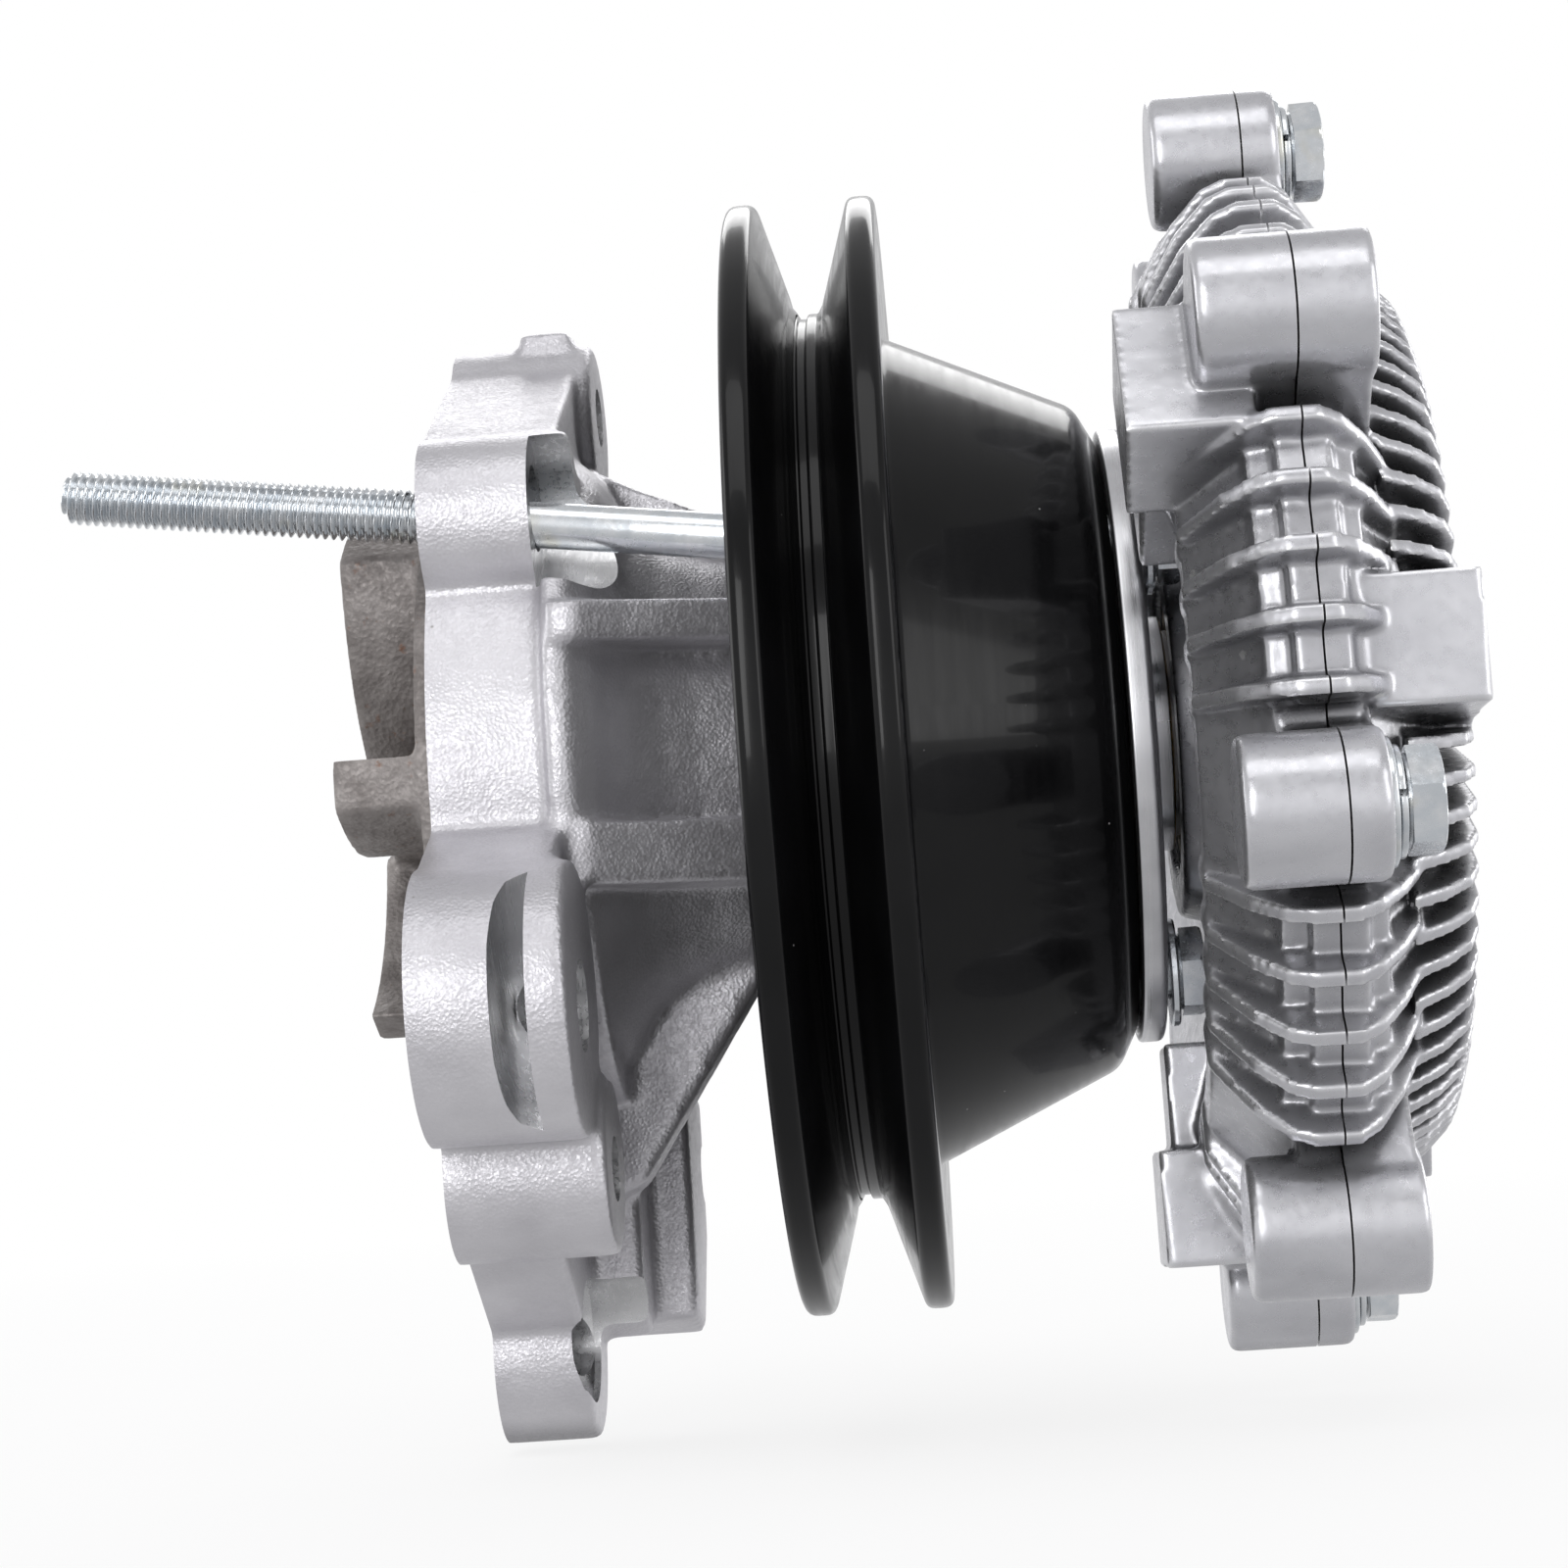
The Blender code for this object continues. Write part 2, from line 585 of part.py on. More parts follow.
# Clutch housing ------------------------------------------------------------------------
def fin_angles():
    """Fins fill each sector between two neighbouring bosses."""
    angles = []
    bosses = sorted(BOLTED_BOSSES + FAN_BOSSES)
    for boss, following in zip(bosses, bosses[1:] + [bosses[0] + 360.0]):
        pitch = (following - boss - 2.0 * FIRST_FIN) / (FINS_PER_SECTOR - 1)
        for number in range(FINS_PER_SECTOR):
            angles.append(boss + FIRST_FIN + number * pitch)
    return angles


def build_fin_tool(name, outline, thickness):
    bm = bmesh.new()
    for angle in fin_angles():
        add_radial_plate(bm, outline, thickness, angle)
    return finish_mesh(bm, name)


def build_pad_tool(name, angles, x_start, x_end, inner, outer, width):
    bm = bmesh.new()
    for angle in angles:
        outline = [(x_start, inner), (x_start, outer), (x_end, outer), (x_end, inner)]
        add_radial_plate(bm, outline, width, angle)
    return finish_mesh(bm, name)


def build_boss_hole_tool(name, bolt_start, bolt_end, fan_start, fan_end):
    """Clearance holes in the bolted bosses and tapped holes in the fan bosses."""
    bm = bmesh.new()
    for place in bolt_places(BOLTED_BOSSES, BOSS_CIRCLE_R):
        add_revolved(bm, disc_profile(bolt_start, bolt_end, 4.25), COARSE, place)
    for place in bolt_places(FAN_BOSSES, BOSS_CIRCLE_R):
        add_revolved(bm, disc_profile(fan_start, fan_end, 3.4), COARSE, place)
    return finish_mesh(bm, name)


def build_clutch_rear_half():
    face = PARTING_X - GAP / 2.0
    beyond = face + TRIM
    profile = [(beyond, 66.0), (116.6, 66.0), (116.6, 30.0), (119.6, 28.5), (119.6, 23.8),
               (107.2, 23.8), (107.2, 20.5), (106.2, 20.5), (106.2, 28.0), (110.0, 29.0),
               (110.0, 46.5), (106.2, 59.0), (106.2, 64.0), (116.0, CORE_R), (beyond, CORE_R)]
    half = revolved("clutch_rear_half", profile, FINE)
    places = bolt_places(BOLTED_BOSSES + FAN_BOSSES, BOSS_CIRCLE_R)
    outline = [(beyond, 72.0), (beyond, FIN_R), (115.2, FIN_R), (105.9, 66.5),
               (105.9, 61.0), (112.0, 63.0), (117.5, 72.0)]
    join(half,
         cylinder_tool("rear_boss_tool", places, 109.5, beyond + 0.1, BOSS_R),
         build_fin_tool("rear_fin_tool", outline, 2.6),
         build_pad_tool("rear_foot_tool", BOLTED_BOSSES + FAN_BOSSES, 116.8, beyond + 0.05,
                        70.0, 84.0, 17.0),
         build_pad_tool("rear_arm_tool", REAR_PADS, 101.8, 108.6, 47.3, 66.0, 14.0),
         build_pad_tool("rear_pad_tool", REAR_PADS, 99.6, 116.9, 63.0, 80.0, 22.0))
    cut(half,
        cylinder_tool("rear_face_tool", [(0.0, 0.0)], face, beyond + 1.0, 100.0),
        build_boss_hole_tool("rear_hole_tool", 111.0, 124.5, 114.0, 124.5))
    return dress(half, "die_cast_aluminium")


def build_clutch_front_half():
    face = PARTING_X + GAP / 2.0
    beyond = face - TRIM
    profile = [(beyond, CORE_R), (127.0, CORE_R), (138.0, 57.0), (141.5, 40.0), (141.5, 3.4),
               (137.6, 3.4), (137.6, 42.0), (129.0, 45.0), (129.0, 54.3), (127.2, 54.3),
               (127.2, 66.0), (beyond, 66.0)]
    half = revolved("clutch_front_half", profile, FINE)
    bolted = bolt_places(BOLTED_BOSSES, BOSS_CIRCLE_R)
    fan = bolt_places(FAN_BOSSES, BOSS_CIRCLE_R)
    outline = [(beyond, 72.0), (beyond, FIN_R), (126.4, FIN_R), (137.2, 63.5),
               (143.8, 52.0), (143.8, 38.0), (140.0, 38.0), (126.8, 72.0)]
    join(half,
         cylinder_tool("front_boss_tool", bolted, beyond - 0.1, 127.5, BOSS_R),
         cylinder_tool("fan_boss_tool", fan, beyond - 0.1, 133.2, BOSS_R),
         build_fin_tool("front_fin_tool", outline, 2.3),
         build_pad_tool("bolted_foot_tool", BOLTED_BOSSES, beyond - 0.05, 126.3, 70.0, 84.0,
                        17.0),
         build_pad_tool("fan_foot_tool", FAN_BOSSES, beyond - 0.05, 131.8, 70.0, 84.0, 17.0),
         build_pad_tool("fan_spur_tool", FAN_BOSSES, 128.4, 131.7, 62.0, 71.0, 16.8),
         build_pad_tool("front_pad_tool", FRONT_PADS, 128.6, 144.0, 50.0, 75.0, 17.5))
    cut(half,
        cylinder_tool("front_face_tool", [(0.0, 0.0)], beyond - 1.0, face, 100.0),
        build_boss_hole_tool("front_hole_tool", 120.0, 136.0, 120.0, 136.0))
    return dress(half, "die_cast_aluminium")


def build_cover_o_ring():
    """Seal ring in the step between the halves."""
    centre_x, centre_r, tube_r, sides = 119.3, 65.0, 0.65, 4
    profile = []
    for side in range(sides):
        angle = 2.0 * math.pi * side / sides
        profile.append((centre_x + tube_r * math.cos(angle), centre_r + tube_r * math.sin(angle)))
    return dress(revolved("cover_o_ring", profile, FINE), "seal_rubber")


def build_separator_plate():
    plate = revolved("separator_plate", tube_profile(127.6, 128.6, 4.0, 54.0), FINE)
    cut(plate, cylinder_tool("port_tool", [polar(27.0, 200.0)], 126.0, 130.0, 3.0, 8))
    return dress(plate, "stainless_sheet")


def build_housing_bolts():
    """Hex bolts and their stacked spring and flat washers, on every second boss."""
    for number, place in enumerate(bolt_places(BOLTED_BOSSES, BOSS_CIRCLE_R), 1):
        sections = [(112.0, 130.2, 3.9, 0), (130.3, 135.0, 7.4, 6)]
        build_hex_bolt(f"housing_bolt_{number}", place, sections)
        bm = bmesh.new()
        profile = [(127.8, 4.3), (127.8, 8.4), (128.9, 8.4), (129.0, 7.4), (130.0, 7.4),
                   (130.0, 4.3)]
        add_revolved(bm, profile, COARSE, place)
        dress(finish_mesh(bm, f"housing_washer_{number}"), "zinc_plate")


def build_bimetal():
    """Thermostat: a flat spiral strip on a spindle that carries the valve arm."""
    steps, turns, strip, first_r, last_r = 42, 3.0, 0.9, 4.2, 16.5
    x_start, x_end = 142.0, 144.6
    bm = bmesh.new()
    rings = []
    for step in range(steps + 1):
        share = step / steps
        angle = 360.0 * turns * share
        radius = first_r + (last_r - first_r) * share
        ring = []
        for x, r in tube_profile(x_start, x_end, radius, radius + strip):
            y, z = polar(r, angle)
            ring.append(bm.verts.new((x, y, z)))
        rings.append(ring)
    bm.faces.new(rings[0])
    bm.faces.new(rings[-1])
    for ring, following in zip(rings, rings[1:]):
        for side in range(4):
            after = (side + 1) % 4
            bm.faces.new((ring[side], ring[after], following[after], following[side]))
    dress(finish_mesh(bm, "bimetal_coil"), "bimetal_strip")
    spindle = revolved("bimetal_spindle", disc_profile(129.3, 145.0, 3.0), COARSE)
    bm = bmesh.new()
    add_radial_plate(bm, [(129.2, 0.0), (129.2, 31.0), (130.3, 31.0), (130.3, 0.0)], 5.0, 190.0)
    join(spindle, finish_mesh(bm, "valve_arm_tool"))
    dress(spindle, "machined_steel")


# Long captive bolt --------------------------------------------------------------------------
def build_long_bolt():
    """Bolt that lies in its oversize hole and droops; its head is behind the pulley."""
    profile = [(LONG_BOLT_TIP, 0.0), (LONG_BOLT_TIP, 3.2), (LONG_BOLT_TIP + 0.8, 3.9), (-3.0, 3.9),
               (-2.0, 3.3), (LONG_BOLT_HEAD, 3.3), (LONG_BOLT_HEAD, 6.9),
               (LONG_BOLT_HEAD + 5.3, 6.9), (LONG_BOLT_HEAD + 5.3, 0.0)]
    bolt = revolved("long_bolt", profile, COARSE)
    bolt.location = [value * MM for value in LONG_BOLT_POINT]
    bolt.rotation_euler = (0.0, math.radians(LONG_BOLT_TILT), 0.0)
    return dress(bolt, "zinc_plate")


def put_origin_on_face():
    """Lower everything, so that the origin is on the gasket face above the shaft."""
    for obj in bpy.data.objects:
        obj.location.z -= SHAFT_DEPTH * MM


def clear_scene():
    for obj in list(bpy.data.objects):
        bpy.data.objects.remove(obj, do_unlink=True)


def build_pump():
    clear_scene()
    build_pump_body()
    build_bearing_sleeve()
    build_bearing_shield("bearing_shield_front", BEARING_END - 1.0)
    build_bearing_shield("bearing_shield_rear", BEARING_START + 0.4)
    for name, row, first in (("rear", BALL_ROWS[0], 1), ("front", BALL_ROWS[1], BALLS_PER_ROW + 1)):
        build_cage(f"ball_cage_{name}", row, 8.0, 8.9, 11.2, BALL_PITCH_R, BALL_R,
                   BALLS_PER_ROW, MEDIUM)
        build_balls("bearing_ball", row, BALL_PITCH_R, BALL_R, BALLS_PER_ROW, first, 2)
    build_seal()
    build_pump_shaft()
    build_impeller()
    build_pulley_hub()
    build_pulley_bowl()
    build_pulley_rear_flange()
    build_clutch_shaft()
    build_flange_bolts()
    build_clutch_rotor()
    build_clutch_bearing()
    build_cage("clutch_ball_cage", CLUTCH_BALL_X, 10.0, 16.5, 19.5, CLUTCH_PITCH_R,
               CLUTCH_BALL_R, CLUTCH_BALLS, MEDIUM)
    build_balls("clutch_ball", CLUTCH_BALL_X, CLUTCH_PITCH_R, CLUTCH_BALL_R, CLUTCH_BALLS, 1, 1)
    build_clutch_rear_half()
    build_clutch_front_half()
    build_cover_o_ring()
    build_separator_plate()
    build_housing_bolts()
    build_bimetal()
    build_long_bolt()
    put_origin_on_face()


build_pump()
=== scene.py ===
"""Looks of the water pump: visible meshes, materials, studio and camera.

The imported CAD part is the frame. Shells here are built in millimetres, in the
CAD's own axes: the shaft runs along +X from the impeller to the fan clutch.
Polar angles are measured about the shaft from -Y towards +Z.
"""
import json
import math

import bmesh
import bpy
from mathutils import Matrix, Vector

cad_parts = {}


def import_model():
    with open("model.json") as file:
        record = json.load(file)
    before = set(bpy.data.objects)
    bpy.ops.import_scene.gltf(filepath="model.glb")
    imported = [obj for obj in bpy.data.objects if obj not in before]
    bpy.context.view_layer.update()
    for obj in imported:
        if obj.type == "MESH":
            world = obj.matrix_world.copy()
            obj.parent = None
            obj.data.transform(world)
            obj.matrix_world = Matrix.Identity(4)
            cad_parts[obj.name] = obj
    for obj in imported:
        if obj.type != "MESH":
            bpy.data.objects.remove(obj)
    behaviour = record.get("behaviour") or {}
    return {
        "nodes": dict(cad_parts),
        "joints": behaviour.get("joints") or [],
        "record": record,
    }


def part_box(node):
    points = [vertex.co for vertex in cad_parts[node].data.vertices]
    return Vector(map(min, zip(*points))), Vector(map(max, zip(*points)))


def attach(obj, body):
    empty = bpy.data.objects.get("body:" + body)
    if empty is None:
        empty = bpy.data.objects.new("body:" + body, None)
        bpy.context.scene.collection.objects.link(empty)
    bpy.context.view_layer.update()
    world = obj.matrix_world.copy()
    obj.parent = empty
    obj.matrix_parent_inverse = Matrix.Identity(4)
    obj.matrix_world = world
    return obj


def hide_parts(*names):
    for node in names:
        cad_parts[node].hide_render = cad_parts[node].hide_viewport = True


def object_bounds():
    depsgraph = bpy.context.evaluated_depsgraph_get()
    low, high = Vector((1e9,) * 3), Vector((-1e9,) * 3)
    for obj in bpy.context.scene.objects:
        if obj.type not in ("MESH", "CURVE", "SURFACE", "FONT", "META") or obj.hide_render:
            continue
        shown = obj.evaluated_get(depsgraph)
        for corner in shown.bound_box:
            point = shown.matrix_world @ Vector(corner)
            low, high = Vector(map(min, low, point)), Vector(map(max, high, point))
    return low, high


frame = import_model()
CAD_BOX = [list(corner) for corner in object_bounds()]

MM = 0.001
BODY_VOXEL = 0.75
CLUTCH_VOXEL = 0.5
IMPELLER_VOXEL = 0.7
ROUND = 224            # segments of large rounds
SMALL_ROUND = 72
AXIS_GAP = 0.02                          # turned loops stay this far off their axis
OVERCAST = -1.5                          # the body is cast from here, then machined to 0


def joint(name):
    return next(row for row in frame["joints"] if row["name"] == name)


SHAFT = Vector(joint("shaft_spin")["pos_m"]) / MM


def low(node):
    """Lower corner of a CAD node's box, in millimetres from the shaft's axis."""
    return list(Vector(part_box(node)[0]) / MM - SHAFT)


def high(node):
    """Upper corner of a CAD node's box, in the same terms."""
    return list(Vector(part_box(node)[1]) / MM - SHAFT)


def centre(node):
    return [(a + b) / 2.0 for a, b in zip(low(node), high(node))]


# Places taken from the frame -------------------------------------------
PARTING = (high("clutch_rear_half")[0] + low("clutch_front_half")[0]) / 2.0
PARTING_GAP = 0.15                       # half the gap between the halves
PULLEY_BACK = low("pulley_rear_flange")[0]
PULLEY_FRONT = PULLEY_BACK + 22.0
PULLEY_R = high("pulley_rear_flange")[2]
BOWL_END = high("pulley_bowl")[0]
FRONT_END = high("clutch_front_half")[0]
GROOVE_R = 67.0                          # bottom of the belt groove
REAR_PADS = (32.0, 152.0, 272.0)         # chucking pads, three on each half
FRONT_PADS = (2.0, 122.0, 242.0)
FAN_FACE = 133.2                         # the fan bosses' faces along the shaft
BOSS_R = 9.8
CORE_R = 75.0                            # the clutch's barrel under its fins
FIN_R = 82.0
FIRST_FIN = 10.5                         # degrees from a boss to its first fin
FINS_PER_SECTOR = 5
DOME_FINS = 80
MELT = 0.2                               # added where casting rounds a radius down
TAPPED_R = 3.4                           # tapped holes for the fan's screws
CLEAR_R = 4.25                           # holes that a housing bolt passes


# Shells ----------------------------------------------------------------
def polar(radius, degrees):
    """The (y, z) of a place about the shaft."""
    angle = math.radians(degrees)
    return -radius * math.cos(angle), radius * math.sin(angle)


def polar_angle(place):
    return math.degrees(math.atan2(place[1], -place[0])) % 360.0


def bolted_angles():
    """Polar angles of the clutch's bolted bosses, from the bolts in the frame."""
    bolts = [node for node in frame["nodes"] if node.startswith("housing_bolt")]
    return sorted(polar_angle(centre(node)[1:]) for node in bolts)


def fan_angles():
    """Polar angles of the bosses that carry the fan, from the record's mounts."""
    mounts = [m for m in frame["record"]["mounts"] if m["name"].startswith("fan_face")]
    return sorted(polar_angle(list(Vector(m["pos_m"]) / MM - SHAFT)[1:]) for m in mounts)


BOLTED = bolted_angles()
FAN = fan_angles()
BOSS_CIRCLE = math.hypot(*centre("housing_bolt_1")[1:])


def rounded(profile, steps=5):
    """A closed loop of (x, r, fillet) corners, each turned into a short arc."""
    result = []
    for index, (x, r, fillet) in enumerate(profile):
        here = Vector((x, r))
        if fillet <= 0.0:
            result.append((x, r))
            continue
        back = Vector(profile[index - 1][:2]) - here
        ahead = Vector(profile[(index + 1) % len(profile)][:2]) - here
        half = max(back.angle(ahead), 0.05) / 2.0
        reach = min(fillet / math.tan(half), 0.48 * back.length, 0.48 * ahead.length)
        start = here + back.normalized() * reach
        end = here + ahead.normalized() * reach
        for step in range(steps + 1):
            t = step / steps
            point = start * (1 - t) ** 2 + here * 2 * t * (1 - t) + end * t * t
            result.append((point.x, point.y))
    return result


class Stock:
    """Closed shells gathered into one mesh, in millimetres."""

    def __init__(self):
        self.points = []
        self.faces = []

    def add(self, points, faces):
        base = len(self.points)
        self.points.extend(tuple(point) for point in points)
        self.faces.extend(tuple(base + corner for corner in face) for face in faces)
        return self

    def rings(self, rings, closed=False):
        """Skin equal rings of points; open stacks get flat end caps."""
        count = len(rings[0])
        points = [point for ring in rings for point in ring]
        faces = []
        last = len(rings) if closed else len(rings) - 1
        for row in range(last):
            here, there = row * count, (row + 1) % len(rings) * count
            for step in range(count):
                after = (step + 1) % count
                faces.append((here + step, there + step, there + after, here + after))
        if not closed:
            faces.append(tuple(range(count))[::-1])
            faces.append(tuple(range(len(points) - count, len(points))))
        return self.add(points, faces)

    def turned(self, profile, segments=ROUND, place=(0.0, 0.0)):
        """Turn a closed (x, r) loop about an axis along X."""
        rings = []
        for step in range(segments):
            ring = []
            for x, r in profile:
                y, z = polar(max(r, AXIS_GAP), 360.0 * step / segments)
                ring.append((x, place[0] + y, place[1] + z))
            rings.append(ring)
        return self.rings(rings, closed=True)

    def rod(self, place, x_start, x_end, radius, segments=48, lead=0.0):
        """A round bar along X, with its far end rounded by lead."""
        profile = [(x_start, radius), (x_end, radius - lead)]
        if lead > 0.0:
            inward = math.copysign(lead, x_start - x_end)
            profile[1:1] = [(x_end + inward, radius),
                            (x_end + 0.3 * inward, radius - 0.3 * lead)]
        return self.stacked(profile, segments, place)

    def stacked(self, profile, segments, place=(0.0, 0.0)):
        """A solid with flat ends, from the open (x, r) profile of its side."""
        rings = []
        for x, r in profile:
            ring = []
            for step in range(segments):
                y, z = polar(r, 360.0 * step / segments)
                ring.append((x, place[0] + y, place[1] + z))
            rings.append(ring)
        return self.rings(rings)

    def prism(self, outline, x_start, x_end):
        """A block along X from a (y, z) outline."""
        return self.rings([[(x, y, z) for y, z in outline] for x in (x_start, x_end)])

    def plate(self, outline, degrees, thickness=None, offset=0.0):
        """A plate standing on a radius; outline is (x, r) or (x, r, thickness)."""
        angle = math.radians(degrees)
        outward = Vector((0.0, -math.cos(angle), math.sin(angle)))
        across = Vector((0.0, math.sin(angle), math.cos(angle)))
        sides = []
        for sign in (-0.5, 0.5):
            side = []
            for corner in outline:
                thick = thickness if thickness is not None else corner[2]
                point = Vector((corner[0], 0.0, 0.0)) + outward * corner[1]
                side.append(point + across * (sign * thick + offset))
            sides.append(side)
        return self.rings(sides)

    def sector(self, profile, start, end, steps=10):
        """Part of a turned ring, from one polar angle to another."""
        rings = []
        for step in range(steps + 1):
            angle = start + (end - start) * step / steps
            rings.append([(x, *polar(r, angle)) for x, r in profile])
        return self.rings(rings)

    def build(self, name, index=0):
        mesh = bpy.data.meshes.new(name)
        mesh.from_pydata([MM * (Vector(point) + SHAFT) for point in self.points], [], self.faces)
        bm = bmesh.new()
        bm.from_mesh(mesh)
        bmesh.ops.recalc_face_normals(bm, faces=bm.faces)
        for face in bm.faces:
            face.material_index = index
            face.smooth = True
        bm.to_mesh(mesh)
        bm.free()
        obj = bpy.data.objects.new(name, mesh)
        bpy.context.scene.collection.objects.link(obj)
        return obj


def bake(obj):
    """Replace an object's mesh by what its modifiers make of it."""
    graph = bpy.context.evaluated_depsgraph_get()
    mesh = bpy.data.meshes.new_from_object(obj.evaluated_get(graph))
    obj.modifiers.clear()
    obj.data = mesh
    return obj


def cast(name, stock, voxel, rounds):
    """Melt overlapping shells into one skin with soft fillets."""
    obj = stock.build(name)
    remesh = obj.modifiers.new("skin", "REMESH")
    remesh.mode = "VOXEL"
    remesh.voxel_size = voxel * MM
    remesh.use_smooth_shade = True
    smooth = obj.modifiers.new("fillets", "SMOOTH")
    smooth.factor = 0.5
    smooth.iterations = rounds
    return bake(obj)


def machine(obj, *tools):
    """Cut tool shells away; the cut faces take the second material slot."""
    for number, stock in enumerate(tools):
        tool = stock.build(f"{obj.name}_tool_{number}", index=1)
        for material in obj.data.materials:
            tool.data.materials.append(material)
        modifier = obj.modifiers.new("cut", "BOOLEAN")
        modifier.operation = "DIFFERENCE"
        modifier.solver = "MANIFOLD"
        modifier.object = tool
        bpy.context.view_layer.update()
        bake(obj)
        bpy.data.objects.remove(tool)
    return obj


def show(obj, body, slot, *nodes, sharp=35.0):
    """Shade a finished piece, ride its body and stand for its CAD nodes."""
    obj.data.shade_smooth()
    obj.data.set_sharp_from_angle(angle=math.radians(sharp))
    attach(obj, body)
    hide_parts(*nodes)
    return obj


# Materials -------------------------------------------------------------
class Finish:
    """A material whose texture space is in millimetres."""

    def __init__(self, name):
        self.material = bpy.data.materials.new(name)
        self.material.use_nodes = True
        self.tree = self.material.node_tree
        self.shader = self.tree.nodes["Principled BSDF"]
        coordinates = self.tree.nodes.new("ShaderNodeTexCoord")
        scale = self.tree.nodes.new("ShaderNodeVectorMath")
        scale.operation = "MULTIPLY_ADD"
        scale.inputs[1].default_value = (1.0 / MM, 1.0 / MM, 1.0 / MM)
        scale.inputs[2].default_value = -SHAFT
        self.tree.links.new(coordinates.outputs["Object"], scale.inputs[0])
        self.space = scale.outputs[0]
        self.last_bump = None

    def feed(self, socket, value):
        """Link a node's output to a socket, or set a plain value."""
        if isinstance(value, bpy.types.NodeSocket):
            self.tree.links.new(value, socket)
        else:
            socket.default_value = value

    def math(self, operation, first, second=0.0):
        node = self.tree.nodes.new("ShaderNodeMath")
        node.operation = operation
        self.feed(node.inputs[0], first)
        self.feed(node.inputs[1], second)
        return node.outputs[0]

    def stretched(self, factors):
        node = self.tree.nodes.new("ShaderNodeVectorMath")
        node.operation = "MULTIPLY"
        self.feed(node.inputs[0], self.space)
        node.inputs[1].default_value = factors
        return node.outputs[0]

    def around(self, stretch=1.0):
        """Coordinates (x, radius, arc) about the shaft, for turned surfaces."""
        split = self.tree.nodes.new("ShaderNodeSeparateXYZ")
        self.feed(split.inputs[0], self.space)
        squares = self.math("ADD", self.math("POWER", split.outputs[1], 2.0),
                            self.math("POWER", split.outputs[2], 2.0))
        radius = self.math("SQRT", squares)
        angle = self.math("ARCTAN2", split.outputs[2], split.outputs[1])
        join = self.tree.nodes.new("ShaderNodeCombineXYZ")
        self.feed(join.inputs[0], split.outputs[0])
        self.feed(join.inputs[1], radius)
        self.feed(join.inputs[2], self.math("MULTIPLY", angle, stretch))
        return join.outputs[0]

    def noise(self, scale, detail=2.0, vector=None, roughness=0.5, distortion=0.0):
        node = self.tree.nodes.new("ShaderNodeTexNoise")
        self.feed(node.inputs["Vector"], vector or self.space)
        node.inputs["Scale"].default_value = scale
        node.inputs["Detail"].default_value = detail
        node.inputs["Roughness"].default_value = roughness
        node.inputs["Distortion"].default_value = distortion
        return node.outputs["Fac"]

    def cells(self, scale, output="Distance"):
        node = self.tree.nodes.new("ShaderNodeTexVoronoi")
        self.feed(node.inputs["Vector"], self.space)
        node.inputs["Scale"].default_value = scale
        return node.outputs[output]

    def ramp(self, value, low_in, high_in, low_out=0.0, high_out=1.0):
        node = self.tree.nodes.new("ShaderNodeMapRange")
        self.feed(node.inputs["Value"], value)
        for name, number in (("From Min", low_in), ("From Max", high_in),
                             ("To Min", low_out), ("To Max", high_out)):
            node.inputs[name].default_value = number
        return node.outputs["Result"]

    def mix(self, share, first, second):
        node = self.tree.nodes.new("ShaderNodeMix")
        node.data_type = "RGBA"
        self.feed(node.inputs["Factor"], share)
        for socket, colour in ((node.inputs[6], first), (node.inputs[7], second)):
            self.feed(socket, (*colour, 1.0) if isinstance(colour, tuple) else colour)
        return node.outputs[2]

    def bump(self, height, strength, distance):
        """Stack another height field on the normal; distance in millimetres."""
        node = self.tree.nodes.new("ShaderNodeBump")
        self.feed(node.inputs["Height"], height)
        node.inputs["Strength"].default_value = strength
        node.inputs["Distance"].default_value = distance * MM
        if self.last_bump is not None:
            self.feed(node.inputs["Normal"], self.last_bump)
        self.last_bump = node.outputs["Normal"]
        self.feed(self.shader.inputs["Normal"], self.last_bump)
        return self

    def set(self, **values):
        for name, value in values.items():
            socket = self.shader.inputs[name.replace("_", " ")]
            if name == "Base_Color" and isinstance(value, tuple):
                value = (*value, 1.0)
            self.feed(socket, value)
        return self

    def edges(self, low_in, high_in):
        """One on convex edges of a dense mesh, zero on flats and in hollows."""
        node = self.tree.nodes.new("ShaderNodeNewGeometry")
        return self.ramp(node.outputs["Pointiness"], low_in, high_in)

    def painted_hollow_shade(self, colour, distance, strength):
        """Painted shade: darken a colour in hollows of castings, where shade falls."""
        node = self.tree.nodes.new("ShaderNodeAmbientOcclusion")
        node.samples = 4
        node.inputs["Distance"].default_value = distance * MM
        shade = self.ramp(node.outputs["AO"], 0.15, 0.85, 1.0 - strength, 1.0)
        mix = self.tree.nodes.new("ShaderNodeMix")
        mix.data_type = "RGBA"
        mix.blend_type = "MULTIPLY"
        mix.inputs["Factor"].default_value = 1.0
        self.feed(mix.inputs[6], colour)
        self.feed(mix.inputs[7], shade)
        return mix.outputs[2]


def cast_aluminium():
    """Gravity-cast skin: bright, with fine glittering grain."""
    f = Finish("cast_aluminium")
    tone = f.ramp(f.noise(0.06, 3.0), 0.35, 0.65)
    colour = f.mix(tone, (0.55, 0.54, 0.57), (0.66, 0.65, 0.68))
    pits = f.ramp(f.cells(0.16), 0.015, 0.05)
    colour = f.mix(pits, (0.34, 0.33, 0.33), colour)
    grain = f.cells(2.1, output="Color")
    rough = f.ramp(grain, 0.0, 1.0, 0.30, 0.52)
    # base colour darkened in hollows: painted shade
    f.set(Base_Color=f.painted_hollow_shade(colour, 6.0, 0.50), Metallic=0.72, Roughness=rough)
    f.bump(f.noise(0.16, 2.0), 0.35, 0.9)
    f.bump(f.cells(1.9), 0.38, 0.16)
    f.bump(f.noise(3.4, 2.0), 0.30, 0.08)
    return f.material


